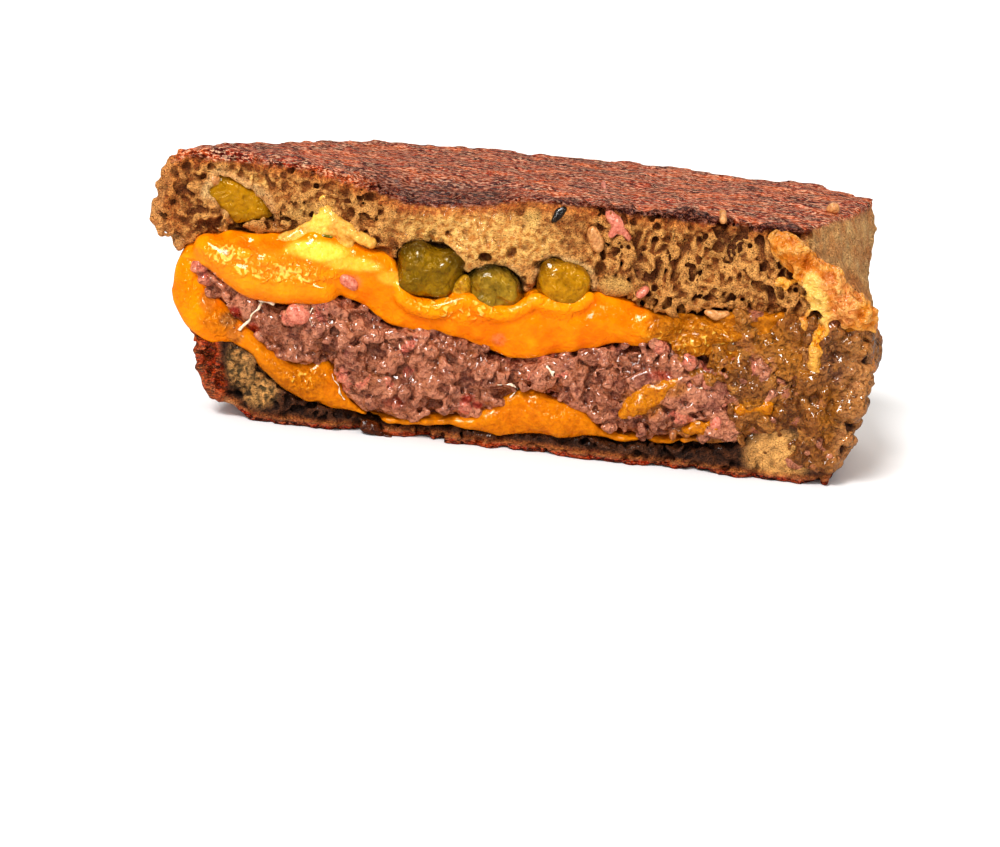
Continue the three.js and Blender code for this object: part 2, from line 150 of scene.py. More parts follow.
class Block:
    """A box of sample points, close together at the cut face and wider behind it."""

    def __init__(self, low, high, step, fine=0.3, widest=1.4, fine_until=3.5):
        depths = [low[1]]
        gap = fine
        while depths[-1] < high[1]:
            if depths[-1] > fine_until:
                gap = min(gap * 1.1, widest)
            depths.append(depths[-1] + gap)
        self.axes = [
            np.arange(low[0], high[0], step),
            np.array(depths),
            np.arange(low[2], high[2], step),
        ]
        places = [axis.astype(np.float32) for axis in self.axes]
        self.x, self.y, self.z = np.meshgrid(*places, indexing="ij", sparse=True)

    def empty(self):
        """A field with nothing in it."""
        return np.full([len(axis) for axis in self.axes], FAR, np.float32)

    def read(self, room, least_y=None):
        """A room's values at the block's points, or at a depth of at least least_y."""
        for axis, places in enumerate(self.axes):
            if axis == 1 and least_y is not None:
                places = np.maximum(places, least_y)
            t = (places - ROOM_LOW[axis]) / VOXEL
            i = np.clip(t.astype(int), 0, room.shape[axis] - 2)
            f = (t - i).astype(np.float32).reshape([-1 if a == axis else 1 for a in range(3)])
            room = np.take(room, i, axis) * (1 - f) + np.take(room, i + 1, axis) * f
        return room

    def lumps(self, cell, seed):
        """Smooth random relief of height about 1, with lumps of the given size."""
        cells = np.broadcast_to(cell, 3)
        rows = [spline_rows(a, c) for a, c in zip(self.axes, cells)]
        values = np.random.default_rng(seed).standard_normal([r.shape[1] for r in rows])
        relief = np.tensordot(rows[0], values.astype(np.float32), (1, 0))
        relief = np.tensordot(relief, rows[1], (1, 1))
        relief = np.tensordot(relief, rows[2], (1, 1))
        return relief * 3

    def at(self, values, points):
        """The values at any points of the block."""
        total = 0
        cell = []
        for axis, places in enumerate(self.axes):
            i = np.clip(np.searchsorted(places, points[:, axis]) - 1, 0, len(places) - 2)
            cell.append((i, (points[:, axis] - places[i]) / (places[i + 1] - places[i])))
        for corner in np.ndindex(2, 2, 2):
            weight = 1
            index = []
            for side, (i, f) in zip(corner, cell):
                weight = weight * (f if side else 1 - f)
                index.append(i + side)
            total = total + weight * values[tuple(index)]
        return total

    def press(self, field, centres, radii, turns=None, width=0.2, carve=False):
        """Joins ellipsoids to a field, or carves them from it, and says which is nearest."""
        nearest = self.empty()
        which = np.zeros(field.shape, np.int32)
        if turns is None:
            turns = np.broadcast_to(np.eye(3), (len(centres), 3, 3))
        for n, (centre, radius, turn) in enumerate(zip(centres, radii, turns)):
            reach = max(radius) + width + 0.6
            spans = [
                slice(*np.searchsorted(places, (c - reach, c + reach)))
                for places, c in zip(self.axes, centre)
            ]
            scaled = turn / radius[:, None]
            x = self.axes[0][spans[0]][:, None, None] - centre[0]
            y = self.axes[1][spans[1]][None, :, None] - centre[1]
            z = self.axes[2][spans[2]][None, None, :] - centre[2]
            length = np.sqrt(sum((row[0] * x + row[1] * y + row[2] * z) ** 2 for row in scaled))
            gap = (length - 1) * radius.min()
            window = tuple(spans)
            old = field[window]
            field[window] = cut_from(old, gap, width) if carve else meet(old, gap, width)
            closer = gap < nearest[window]
            nearest[window][closer] = gap[closer]
            which[window][closer] = n
        return which

    def read_near(self, which, points):
        """What press said at the sample next to each point."""
        index = [
            np.clip(np.searchsorted(places, points[:, axis]), 0, len(places) - 1)
            for axis, places in enumerate(self.axes)
        ]
        return which[tuple(index)]

    def skin(self, field):
        """The closed surface where a field is zero, as points and four-sided faces."""
        for axis in range(3):
            rim = np.moveaxis(field, axis, 0)[[0, -1]]
            np.moveaxis(field, axis, 0)[[0, -1]] = np.maximum(rim, 0.05)
        inside = field < 0
        shape = np.array(field.shape) - 1
        corners = list(np.ndindex(2, 2, 2))
        views = [inside[tuple(slice(s, s + n) for s, n in zip(c, shape))] for c in corners]
        filled = sum(v.astype(np.int8) for v in views)
        cells = np.argwhere((filled > 0) & (filled < 8))
        value = {c: field[tuple((cells + c).T)] for c in corners}
        crossings = np.zeros((len(cells), 3))
        count = np.zeros((len(cells), 1))
        for a in corners:
            for axis in range(3):
                if a[axis]:
                    continue
                b = tuple(1 if i == axis else s for i, s in enumerate(a))
                crossed = (value[a] < 0) != (value[b] < 0)
                with np.errstate(divide="ignore", invalid="ignore"):
                    t = value[a] / (value[a] - value[b])
                point = np.tile(np.array(a, float), (len(cells), 1))
                point[:, axis] = t
                crossings[crossed] += point[crossed]
                count += crossed[:, None]
        crossings /= count
        points = np.empty_like(crossings)
        for axis, places in enumerate(self.axes):
            i = cells[:, axis]
            points[:, axis] = places[i] + crossings[:, axis] * (places[i + 1] - places[i])
        number = np.full(shape, -1, np.int32)
        number[tuple(cells.T)] = np.arange(len(cells))
        faces = []
        for axis in range(3):
            u, v = [a for a in range(3) if a != axis]
            low = [slice(1, n) for n in shape]
            low[axis] = slice(0, shape[axis])
            high = list(low)
            high[axis] = slice(1, shape[axis] + 1)
            start, end = inside[tuple(low)], inside[tuple(high)]
            edges = np.argwhere(start != end)
            leaving = start[tuple(edges.T)]
            first = edges.copy()
            first[:, u] += 1
            first[:, v] += 1
            ring = []
            for du, dv in ((1, 1), (0, 1), (0, 0), (1, 0)):
                cell = first.copy()
                cell[:, u] -= du
                cell[:, v] -= dv
                ring.append(number[tuple(cell.T)])
            ring = np.stack(ring, 1)
            flip = leaving == (axis == 1)
            ring[flip] = ring[flip][:, ::-1]
            faces.append(ring)
        return points, np.concatenate(faces)


def connected(points, faces, least=None):
    """The largest connected part of a mesh, or all parts with at least so many points."""
    label = np.arange(len(points))
    a = faces.ravel()
    b = np.roll(faces, 1, 1).ravel()
    while True:
        low = np.minimum(label[a], label[b])
        new = label.copy()
        np.minimum.at(new, label[a], low)
        np.minimum.at(new, label[b], low)
        for _ in range(4):
            new = new[new]
        if np.array_equal(new, label):
            break
        label = new
    sizes = np.bincount(label)
    keep = sizes[label] >= (sizes.max() if least is None else least)
    number = np.cumsum(keep) - 1
    return points[keep], number[faces[keep[faces[:, 0]]]]


def thin_out(piece, buried, most_triangles):
    """Joins small faces between the layers, where nothing shows, down to so many triangles."""
    triangles = sum(len(p.vertices) - 2 for p in piece.data.polygons)
    if triangles <= most_triangles:
        return
    group = piece.vertex_groups.new(name="buried")
    group.add(np.flatnonzero(buried).tolist(), 1.0, "REPLACE")
    modifier = piece.modifiers.new("fewer", "DECIMATE")
    modifier.vertex_group = "buried"
    modifier.ratio = most_triangles / triangles
    shown = piece.evaluated_get(bpy.context.evaluated_depsgraph_get())
    mesh = bpy.data.meshes.new_from_object(shown)
    piece.modifiers.clear()
    piece.vertex_groups.clear()
    piece.data = mesh


def food(name, points, faces, material, node, slot, most_triangles=190000, **masks):
    """A shown piece made of a mesh in cut-face millimetres, with masks on its points."""
    mesh = bpy.data.meshes.new(name)
    mesh.vertices.add(len(points))
    mesh.vertices.foreach_set("co", ((points - TO_CUT) * MM).astype(np.float32).ravel())
    sides = faces.shape[1]
    mesh.loops.add(faces.size)
    mesh.loops.foreach_set("vertex_index", faces.astype(np.int32).ravel())
    mesh.polygons.add(len(faces))
    mesh.polygons.foreach_set("loop_start", np.arange(0, faces.size, sides, dtype=np.int32))
    mesh.update(calc_edges=True)
    mesh.polygons.foreach_set("use_smooth", np.ones(len(faces), bool))
    for mask, values in masks.items():
        attribute = mesh.attributes.new(mask, "FLOAT", "POINT")
        attribute.data.foreach_set("value", np.broadcast_to(values, len(points)).astype(np.float32))
    mesh.materials.append(material)
    piece = bpy.data.objects.new(name, mesh)
    bpy.context.scene.collection.objects.link(piece)
    thin_out(piece, look_up(loaf, points) < BURIED, most_triangles)
    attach(piece, "root")
    if node:
        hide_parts(node)


def random_turns(count, seed):
    """That many random rotations, as matrices."""
    q = np.random.default_rng(seed).standard_normal((count, 4))
    q /= np.linalg.norm(q, axis=1)[:, None]
    w, x, y, z = q.T
    return np.array([
        [1 - 2 * (y * y + z * z), 2 * (x * y - z * w), 2 * (x * z + y * w)],
        [2 * (x * y + z * w), 1 - 2 * (x * x + z * z), 2 * (y * z - x * w)],
        [2 * (x * z - y * w), 2 * (y * z + x * w), 1 - 2 * (x * x + y * y)],
    ]).transpose(2, 0, 1)


def rgb(*seen):
    """A colour given as it is seen on a screen: red, green and blue from 0 to 255."""
    light = [((v / 255 + 0.055) / 1.055) ** 2.4 if v > 10 else v / 3295 for v in seen]
    return (*light, 1.0)


def grey(value):
    """A plain value as a colour, for a roughness that two masks mix."""
    return (value, value, value, 1.0)


class Nodes:
    """A shader node tree, with short ways to add nodes to it."""

    def __init__(self, tree):
        self.tree = tree

    def join(self, value, socket):
        """Links a value that changes over the surface to a socket, or sets a plain one."""
        if isinstance(value, bpy.types.NodeSocket):
            self.tree.links.new(value, socket)
        else:
            socket.default_value = value

    def add(self, kind, inputs=None, **settings):
        """Adds a node with its settings, and its inputs set or linked."""
        node = self.tree.nodes.new("ShaderNode" + kind)
        for key, value in settings.items():
            setattr(node, key, value)
        for key, value in (inputs or {}).items():
            self.join(value, node.inputs[key])
        return node

    def mix(self, share, *tones):
        """Two colours mixed by a share, each a socket or as it is seen on a screen."""
        low, high = [rgb(*t) if isinstance(t, tuple) and len(t) == 3 else t for t in tones]
        return self.add("Mix", {0: share, 6: low, 7: high}, data_type="RGBA").outputs[2]

    def spread(self, value, low, high, to_low=0.0, to_high=1.0):
        """A value stretched from one range to another, and held within it."""
        inputs = {"Value": value, "From Min": low, "From Max": high, "To Min": to_low, "To Max": to_high}
        return self.add("MapRange", inputs).outputs["Result"]

    def sums(self, kind, first, second):
        """Two values added, multiplied or compared."""
        return self.add("Math", {0: first, 1: second}, operation=kind).outputs[0]

    def mask(self, name):
        """A mask that the piece's points carry."""
        return self.add("Attribute", attribute_name=name).outputs["Fac"]


# Hairs as fine as this don't grow with the grain's sizes: how many to the metre.
FUZZ_SCALE = 2800.0


def grain_group():
    """Fine uneven grain of food: clouds, crisp grains, hair-fine fuzz, specks and soft folds."""
    group = bpy.data.node_groups.new("food grain", "ShaderNodeTree")
    for name, value in (("Cloud Size", 4.0), ("Grain Size", 0.8), ("Along", 1.0)):
        socket = group.interface.new_socket(name, in_out="INPUT", socket_type="NodeSocketFloat")
        socket.default_value = value
    for name in ("Clouds", "Grains", "Fuzz", "Specks", "Folds"):
        group.interface.new_socket(name, in_out="OUTPUT", socket_type="NodeSocketFloat")
    nodes = Nodes(group)
    given = group.nodes.new("NodeGroupInput").outputs
    outside = group.nodes.new("NodeGroupOutput").inputs
    place = nodes.add("TexCoord").outputs["Object"]
    across = nodes.add("CombineXYZ", {"X": given["Along"], "Y": 1.0, "Z": 1.0}).outputs[0]
    pulled = nodes.add("VectorMath", {0: place, 1: across}, operation="MULTIPLY").outputs[0]
    cloud_scale = nodes.sums("DIVIDE", 1.0 / MM, given["Cloud Size"])
    grain_scale = nodes.sums("DIVIDE", 1.0 / MM, given["Grain Size"])

    def noise(scale, detail, **inputs):
        """Noise at the pulled place."""
        inputs = {"Vector": pulled, "Scale": scale, "Detail": detail, **inputs}
        return nodes.add("TexNoise", inputs).outputs["Fac"]

    clouds = noise(cloud_scale, 4.0, Roughness=0.6)
    grains = noise(grain_scale, 3.0, Roughness=0.7)
    fuzz = noise(FUZZ_SCALE, 2.0, Roughness=0.6)
    dots = nodes.add("TexVoronoi", {"Vector": pulled, "Scale": grain_scale}).outputs["Distance"]
    nodes.join(nodes.spread(clouds, 0.32, 0.68), outside["Clouds"])
    nodes.join(nodes.spread(grains, 0.34, 0.66), outside["Grains"])
    nodes.join(nodes.spread(fuzz, 0.34, 0.66), outside["Fuzz"])
    nodes.join(nodes.spread(dots, 0.28, 0.1), outside["Specks"])
    nodes.join(noise(grain_scale, 0.6, Distortion=0.6), outside["Folds"])
    return group


GRAIN = grain_group()


class Finish(Nodes):
    """A new material: its shader's plain values, and the colours laid over each other on it."""

    def __init__(self, name, **inputs):
        self.material = bpy.data.materials.new(name)
        self.material.use_nodes = True
        super().__init__(self.material.node_tree)
        self.shader = self.tree.nodes["Principled BSDF"].inputs
        for key, value in inputs.items():
            self.shader[key.replace("_", " ")].default_value = value

    def grain(self, cloud, fine, *patterns, along=1.0):
        """The grain group placed with sizes in millimetres: the patterns asked for by name."""
        inputs = {"Cloud Size": cloud, "Grain Size": fine, "Along": along}
        node = self.add("Group", inputs, node_tree=GRAIN)
        return [node.outputs[name] for name in patterns]

    def over(self, colour, tone, pattern, low=None, high=None, most=1.0):
        """A colour with a tone over it: by a mask, or where a pattern goes from low to high."""
        share = pattern if low is None else self.spread(pattern, low, high, 0.0, most)
        return self.mix(share, colour, tone)

    def paint(self, *coat):
        """The same on the material's own colour."""
        self.colour = self.over(self.colour, *coat)

    def finished(self, *bumps):
        """The material, with bumps: how high each is in millimetres, and its pattern."""
        self.join(self.colour, self.shader["Base Color"])
        normal = None
        for height, pattern in bumps:
            bump = self.add("Bump", {"Height": pattern, "Distance": height * MM, "Strength": 1.0})
            if normal is not None:
                self.join(normal, bump.inputs["Normal"])
            normal = bump.outputs["Normal"]
        self.join(normal, self.shader["Normal"])
        return self.material


def bread_finish(name, dark, middle, light, pale, bright, soaked, pit, crust, fried):
    """Rye bread: crumb, crust and fried face, told apart by the masks on its points."""
    bread = Finish(
        name, Subsurface_Weight=0.05, Subsurface_Scale=0.0006, Subsurface_Radius=(1.0, 0.5, 0.25),
        Specular_IOR_Level=0.4, Coat_Roughness=0.08,
    )
    mask, mix, over, paint, spread = bread.mask, bread.mix, bread.over, bread.paint, bread.spread
    clouds, grains, fuzz, specks, folds = bread.grain(
        5.0, 0.9, "Clouds", "Grains", "Fuzz", "Specks", "Folds")
    streaks, fibres, hairs = bread.grain(3.4, 1.2, "Clouds", "Grains", "Fuzz", along=0.4)
    hollow = mask("hollow")
    bread.colour = mix(clouds, dark, middle)
    paint(light, grains, 0.35, 0.9, 0.75)
    # Painted highlight: the ridges of the crumb are lighter.
    paint(light, hollow, 0.0, -0.2)
    paint(dark, grains, 0.35, 0.0, 0.6)
    paint(dark, fuzz, 0.42, 0.1, 0.35)
    paint(mix(spread(folds, 0.35, 0.65), pale, bright), mask("pale"))
    paint(bright, mask("bright"))
    paint(mix(grains, soaked, middle), mask("soaked"))
    paint(mix(grains, (176, 68, 8), (246, 150, 62)), mask("golden"))
    # Painted shade: the hollows of the crumb are darker, and darker still in the pores deep below its
    # smooth face.
    paint(dark, hollow, 0.02, 0.35, 0.85)
    paint(pit, mask("deep"), 0.6, 2.0, 0.85)
    side = mix(streaks, *crust)
    side = over(side, (150, 84, 38), fuzz, 0.5, 0.0, 0.4)
    side = over(side, (120, 66, 28), specks, 0.0, 1.0, 0.5)
    paint(side, mask("crust"))
    burnt, brown, bright_brown, sheen = fried
    top = mix(spread(fibres, 0.36, 0.64), burnt, brown)
    top = over(top, bright_brown, streaks, 0.45, 0.8, 0.8)
    top = over(top, sheen, hairs, 0.56, 0.8, 0.75)
    top = over(top, burnt, hairs, 0.44, 0.2, 0.85)
    # Char along the fried edge and over the seared front, with painted sheen on its fine hairs.
    charred = mix(spread(hairs, 0.55, 0.9), (44, 8, 2), (134, 70, 52))
    top = over(top, charred, mask("charred"))
    paint(top, mask("fried"))
    rough = mix(mask("fried"), grey(0.7), grey(0.25))
    rough = mix(mask("wet"), rough, grey(0.16))
    bread.join(rough, bread.shader["Roughness"])
    bread.join(bread.sums("MULTIPLY", mask("wet"), 0.5), bread.shader["Coat Weight"])
    even = bread.sums("MAXIMUM", mask("pale"), mask("fried"))
    rugged = spread(even, 0.0, 1.0, 1.0, 0.35)
    grains = bread.sums("MULTIPLY", grains, rugged)
    fuzz = bread.sums("MULTIPLY", fuzz, rugged)
    return bread.finished((0.7, grains), (0.5, fibres), (0.2, fuzz))


def ovals(points, *spots):
    """A mask of soft ovals on the cut face: middle x and z, half sizes and strength."""
    value = np.zeros(len(points))
    for x, z, half_x, half_z, strength in spots:
        reach = np.sqrt(((points[:, 0] - x) / half_x) ** 2 + ((points[:, 2] - z) / half_z) ** 2)
        value = np.maximum(value, strength * fade(reach, 1.35, 0.65))
    return value * fade(points[:, 1], 9, 5)


def along(path, radii, step=0.4):
    """Balls along a bent line, as middles and radii, for a strand or a ridge."""
    path = np.array(path, float)
    lengths = np.concatenate([[0], np.cumsum(np.linalg.norm(np.diff(path, axis=0), axis=1))])
    places = np.linspace(0, lengths[-1], max(2, int(lengths[-1] / step) + 1))
    middles = np.stack([np.interp(places, lengths, path[:, k]) for k in range(3)], 1)
    return middles, np.repeat(np.interp(places, lengths, radii)[:, None], 3, 1)


layers = ("lower_slice", "lower_cheese", "patty", "upper_cheese", "upper_slice")
room_of = {node: distance_of(node) for node in layers}

# The whole half as one body, without the gaps between its layers.
CLOSE_GAPS = 0.4
joined = np.minimum.reduce(list(room_of.values())) - CLOSE_GAPS
joined_grid = openvdb.FloatGrid(FAR)
joined_grid.gridClass = openvdb.GridClass.LEVEL_SET
joined_grid.transform = openvdb.createLinearTransform(VOXEL)
joined_grid.copyFromArray(joined, ijk=ROOM_FIRST)
loaf_points, loaf_faces = joined_grid.convertToQuads()
loaf = distance_from(loaf_points, quads=loaf_faces) + CLOSE_GAPS

# The crust is told from the crumb by how deep a point is under the outside, read
# this far behind the cut, where the cut face itself doesn't count.
BEHIND_CUT = 5.0
# Each layer is a little fuller than its solid, so that no gap shows between them.
FULLER = 0.22
# Deeper than this in the half, only other layers touch a piece.
BURIED = -3.2


def torn(block, cells, seed, share, depth):
    """Irregular cells torn open in crumb: a share of the face, each up to that deep."""
    relief = block.lumps(cells, seed)
    return depth * np.clip(relief - np.quantile(relief[::4, ::4, ::4], 1 - share), 0, 1.4)


def foam(block, cells, seed, wall, depth):
    """Open foam: thin walls stay between cells that go up to that deep."""
    return depth * np.clip(abs(block.lumps(cells, seed)) - wall, 0, 1)


def strands(block, cells, seed, wall, depth):
    """Torn strands: two foams laid over each other, so that their walls meet and cross."""
    nearest_wall = np.minimum(abs(block.lumps(cells, seed)), abs(block.lumps(cells, seed + 100)))
    return depth * np.clip(nearest_wall - wall, 0, 1)


def hollows(block, field, points, passes=2):
    """How far each point lies in a hollow of the surface, negative on a ridge."""
    return -block.at(softened(field, passes), points)


block = Block((-61, -3, -1.5), (70, 55, 32), step=0.33)
base = block.read(softened(room_of["lower_slice"], 1)) - FULLER
rind = -block.read(loaf, BEHIND_CUT)
cut = fade(block.y, 5.5, 2.5)
crumb_only = fade(rind, 0.3, 1.1)
crags = 0.25 * block.lumps(4.0, 11) + 0.2 * block.lumps(1.6, 12) + 0.16 * block.lumps(0.7, 13)
skin = 0.14 * block.lumps((3.0, 1.6, 1.4), 14) + 0.14 * block.lumps((1.3, 1.0, 0.7), 15)
fluffy = fade(block.x, 41, 46) * fade(block.x, 59, 54) * fade(block.z, 15, 12)
pressed = fade(abs(block.x + 46.5 + 0.65 * (block.z - 7)), 3.4, 2.2)
holes = torn(block, 0.8, 16, 0.4, 0.7) + foam(block, 1.5, 17, 0.5, 0.9)
holes = crumb_only * holes * (1 - 0.8 * np.maximum(fluffy, pressed))
field = base + cut * (crags + holes) + (1 - cut) * skin
# A solid heart behind the open crumb keeps its walls joined.
LOWER_HEART = 2.2
field = np.minimum(field, base + LOWER_HEART)
# The underside stays flat where the half rests.
field = np.maximum(field, -block.z)
points, faces = connected(*block.skin(field))
under = block.at(rind, points)
beside_cheese = block.at(block.read(room_of["lower_cheese"]), points)
x, y, z = points.T
end_face = fade(under, 4.6, 3.4) * fade(x, -49.5, -51.5) * fade(z, 18.5, 16.5)
# Its colours are far darker than the upper slice's: partly the rye's own brown, partly painted shade for
# the shadow this slice lies in.
lower_bread = bread_finish(
    "lower bread",
    dark=(46, 20, 6), middle=(62, 31, 12), light=(104, 58, 27), pale=(108, 86, 42),
    bright=(255, 188, 108), soaked=(96, 52, 14), pit=(34, 14, 4),
    crust=((196, 124, 68), (240, 178, 120)),
    fried=((62, 10, 0), (178, 42, 0), (228, 84, 8), (190, 100, 50)),
)
food(
    "lower_slice_bread", points, faces, lower_bread, "lower_slice", "lower_bread",
    deep=-block.at(base, points), hollow=hollows(block, field, points),
    crust=fade(under, 1.5, 0.6),
    fried=np.clip(fade(under, 1.3, 0.7) * fade(z, 3.2, 1.6) + 0.85 * end_face, 0, 1),
    golden=np.maximum(fade(under, 2.4, 1.2) * 0.6 * fade(z, 6, 3), 0.35 * end_face),
    pale=ovals(points, (-47.8, 11, 2.8, 5.0, 0.6), (-44.5, 6.5, 3.4, 3.4, 0.7)),
    bright=ovals(points, (50, 5, 5.5, 4.4, 1.0), (47.5, 10.5, 2.6, 3, 0.55)),
    soaked=fade(beside_cheese, 2.5, 0.3) * 0.35 * fade(x, 60, 50),
    wet=fade(beside_cheese, 2.0, 0.3) * 0.6, charred=0.35 * fade(z, 1.2, 0.4),
)

# ------------------------------------------------------------------ lower cheese
# The lower layer of melted orange cheese: smooth, wet and stretched over the bread,
# with a curtain that hangs down the left end.

# What wet food mirrors is tinted by the fat on it.
WARM = (1.0, 0.75, 0.4, 1.0)
# Cheese fills more than its solid does, up to the layers on both sides of it.
MELTED_FULLER = 0.4
# Smooth cheese needs fewer triangles than crumb does.
CHEESE_TRIANGLES = 70000


def cheese_finish(name, *spots):
    """Wet melted cheese: orange, with coloured spots that its masks place, painted shade in its hollows,
    painted highlights on its ridges and painted glints on its wrinkles.
    """
    cheese = Finish(
        name, Subsurface_Weight=0.15, Subsurface_Scale=0.0012, Subsurface_Radius=(1.0, 0.4, 0.02),
        Roughness=0.12, Specular_IOR_Level=0.3, Specular_Tint=WARM,
        Coat_Weight=0.6, Coat_Roughness=0.04, Coat_IOR=1.4,
    )
    clouds, grains, folds = cheese.grain(5.0, 0.9, "Clouds", "Grains", "Folds")
    hollow = cheese.mask("hollow")
    cheese.colour = cheese.mix(clouds, (230, 108, 0), (246, 140, 0))
    # Painted highlight on the ridges and painted shade in the hollows.
    cheese.paint((255, 172, 10), hollow, -0.04, -0.24, 0.45)
    cheese.paint((206, 96, 0), hollow, 0.04, 0.2, 0.5)
    for spot, tones in spots:
        cheese.paint(cheese.mix(grains, *tones), cheese.mask(spot))
    # Painted glints: pale flecks on the tops of the wrinkles where the glints mask is strong; the same
    # wrinkles are bumps too.
    wrinkles = cheese.sums("MULTIPLY", folds, cheese.mask("glints"))
    cheese.paint((255, 222, 110), wrinkles, 0.49, 0.6, 0.65)
    return cheese.finished((0.22, folds), (0.6, wrinkles))


block = Block((-69, -6, -0.5), (71, 58, 34), step=0.38)
base = block.read(softened(room_of["lower_cheese"], 2)) - MELTED_FULLER
field = base + 0.25 * block.lumps(5.0, 21) + 0.16 * block.lumps(2.2, 22) + 0.08 * block.lumps(1.1, 23)
# The curtain at the left end, flat against the bread, with two thicker folds in it.
CURTAIN_FLATNESS = (1.2, 0.75, 1.0)
middles, sizes = along(
    [(-57.4, 1.8, 31.0), (-58.2, 1.5, 29), (-58.8, 1.1, 26), (-58.0, 0.7, 21), (-55.6, 0.3, 17.8),
     (-52.5, 0.3, 16)],
    [0.7, 0.8, 1.1, 1.4, 1.6, 1.4],
)
block.press(field, middles, sizes * CURTAIN_FLATNESS, width=1.6)
folds_in_it = np.array([(2.4, 1.0, 4.0), (2.6, 1.0, 2.2)])
block.press(field, [(-56.2, 1.6, 22.5), (-53.6, 0.9, 18.8)], folds_in_it, width=1.2)
# The ridge where it runs on under the beef.
ridge = along([(-44, -0.2, 12), (-39, -0.7, 9), (-35, -0.3, 6.5)], [1.3, 1.7, 1.2])
block.press(field, *ridge, width=1.0)
points, faces = connected(*block.skin(field))
lower_melt = cheese_finish(
    "lower cheese",
    ("amber", ((158, 84, 4), (208, 124, 12))),
    ("mixed", ((112, 66, 32), (182, 118, 58))),
)
x, y, _ = points.T
food(
    "lower_cheese_melt", points, faces, lower_melt, "lower_cheese", "lower_cheese",
    most_triangles=CHEESE_TRIANGLES,
    hollow=hollows(block, field, points, 4),
    glints=np.maximum(
        ovals(points, (-58, 24, 3, 4, 0.5), (-37, 9, 3, 2, 0.8), (-51, 17, 3, 3, 0.6)), 0.06),
    amber=np.maximum(
        ovals(points, (-39, 9, 8, 5, 0.95), (28, 4, 10, 3, 0.8), (-20, 3, 10, 3, 0.6),
              (-52.8, 18, 3.4, 2.6, 0.8)),
        0.7 * fade(x, -52, -44)),
    mixed=np.maximum(
        ovals(points, (-51, 18.5, 1.6, 1.2, 0.9), (-49.5, 16, 1.5, 1.6, 0.6), (-55, 21.5, 1.4, 1.8, 0.5)),
        fade(x, 31, 38) * fade(y, 9, 4)),
)

# ------------------------------------------------------------------ beef patty
# Coarse ground beef, pressed and seared: moist granules of mauve brown and pink with
# crevices between them, darkened with painted shade. The granules are pressed into the body of the patty.
beef = Finish(
    "ground beef", Subsurface_Weight=0.08, Subsurface_Scale=0.0006, Subsurface_Radius=(1.0, 0.35, 0.25),
    Roughness=0.25, Specular_IOR_Level=0.4, Specular_Tint=WARM, Coat_Weight=1.0, Coat_Roughness=0.05,
)
clouds, grains, fuzz, folds = beef.grain(3.6, 0.8, "Clouds", "Grains", "Fuzz", "Folds")
tint, hollow = beef.mask("tint"), beef.mask("hollow")
# Each granule has a tint of its own, from brown through mauve to a few that are pink.
beef.colour = beef.mix(beef.spread(tint, 0.0, 0.35), (112, 54, 38), (166, 96, 66))
beef.paint((204, 132, 100), tint, 0.4, 0.85)
beef.paint((224, 118, 98), tint, 0.9, 0.93)
beef.paint((122, 62, 56), clouds, 0.55, 0.9, 0.75)
beef.paint((172, 100, 52), clouds, 0.35, 0.0, 0.6)
beef.paint((208, 140, 110), grains, 0.4, 0.9, 0.6)
beef.paint((96, 42, 28), grains, 0.35, 0.0, 0.6)
beef.paint((96, 42, 28), fuzz, 0.45, 0.0, 0.5)
# Painted highlight on the ridges, painted shade in the hollows and darker still in the deep crevices.
beef.paint((216, 146, 116), hollow, 0.0, -0.2, 0.5)
beef.paint((82, 34, 24), hollow, 0.02, 0.3, 0.85)
beef.paint((72, 30, 22), beef.mask("deep"), 0.5, 1.4, 0.6)
beef.paint(beef.mix(grains, (150, 84, 14), (214, 134, 26)), beef.mask("amber"))
beef.paint(beef.mix(grains, (118, 70, 34), (196, 136, 74)), beef.mask("tan"))
beef.paint((160, 26, 20), beef.mask("red"))
ground_beef = beef.finished((0.9, folds), (0.2, grains))

block = Block((-69, -4.2, 0), (71, 57, 34), step=0.32)
base = block.read(softened(room_of["patty"], 2))
outer = block.read(loaf)
near_outside = fade(outer, -4.5, -2.5)
# Granules stand on a lattice, each shaken from its place, wherever the patty's skin runs.
SPACING = 1.8
SHAKEN = 0.7
MIDDLE_RADIUS = 0.85
rng = np.random.default_rng(31)
lattice = np.stack(np.meshgrid(
    np.arange(-68, 70, SPACING), np.arange(-2.5, 56, SPACING), np.arange(0, 33, SPACING),
    indexing="ij"), -1)
centres = lattice.reshape(-1, 3) + rng.uniform(-SHAKEN, SHAKEN, (lattice.size // 3, 3))
below = block.at(base, centres)
at_the_skin = (below > -1.2) & (below < 0.15) & (block.at(outer, centres) > -3.5)
centres = centres[at_the_skin & (centres[:, 0] > -57.5)]
count = len(centres)
radii = np.clip(MIDDLE_RADIUS * np.exp(0.38 * rng.standard_normal(count)), 0.45, 1.7)[:, None]
radii = radii * rng.uniform((0.7, 0.7, 1.2), (1.1, 1.1, 2.2), (count, 3))
tints = rng.random(count)
seams = np.clip(0.2 - abs(block.lumps(3.2, 36)), 0, 0.2) / 0.2
field = base + 0.35 * near_outside
which = block.press(field, centres, radii, random_turns(count, 32), 0.2)
crags = 0.35 * block.lumps(2.8, 33) + 0.16 * block.lumps(0.7, 34) + 0.35 * seams
field += near_outside * (crags + torn(block, (1.3, 1.0, 0.9), 35, 0.15, 0.4))
# Crevices carved in the cut and darkened by painted shade, as x, z, half width and half height.
for x, z, wide, high in (
    (-25.5, 21.4, 4.6, 1.9), (-31.5, 18.8, 1.5, 1.2), (-19, 12, 1.9, 2.0), (-6.5, 2.6, 3.6, 1.5),
    (-1, 10.5, 1.8, 0.9), (-12.5, 7.5, 1.4, 1.0),
):
    block.press(field, [(x, -1.0, z)], [np.array([wide, 1.7, high])], width=0.4, carve=True)
# No crevice goes deeper than this, and no granule stands out further than that.
DEEPEST = 0.9
FURTHEST_OUT = 1.2
field = np.minimum(cut_from(field, FURTHEST_OUT - base, 0.6), base + DEEPEST)
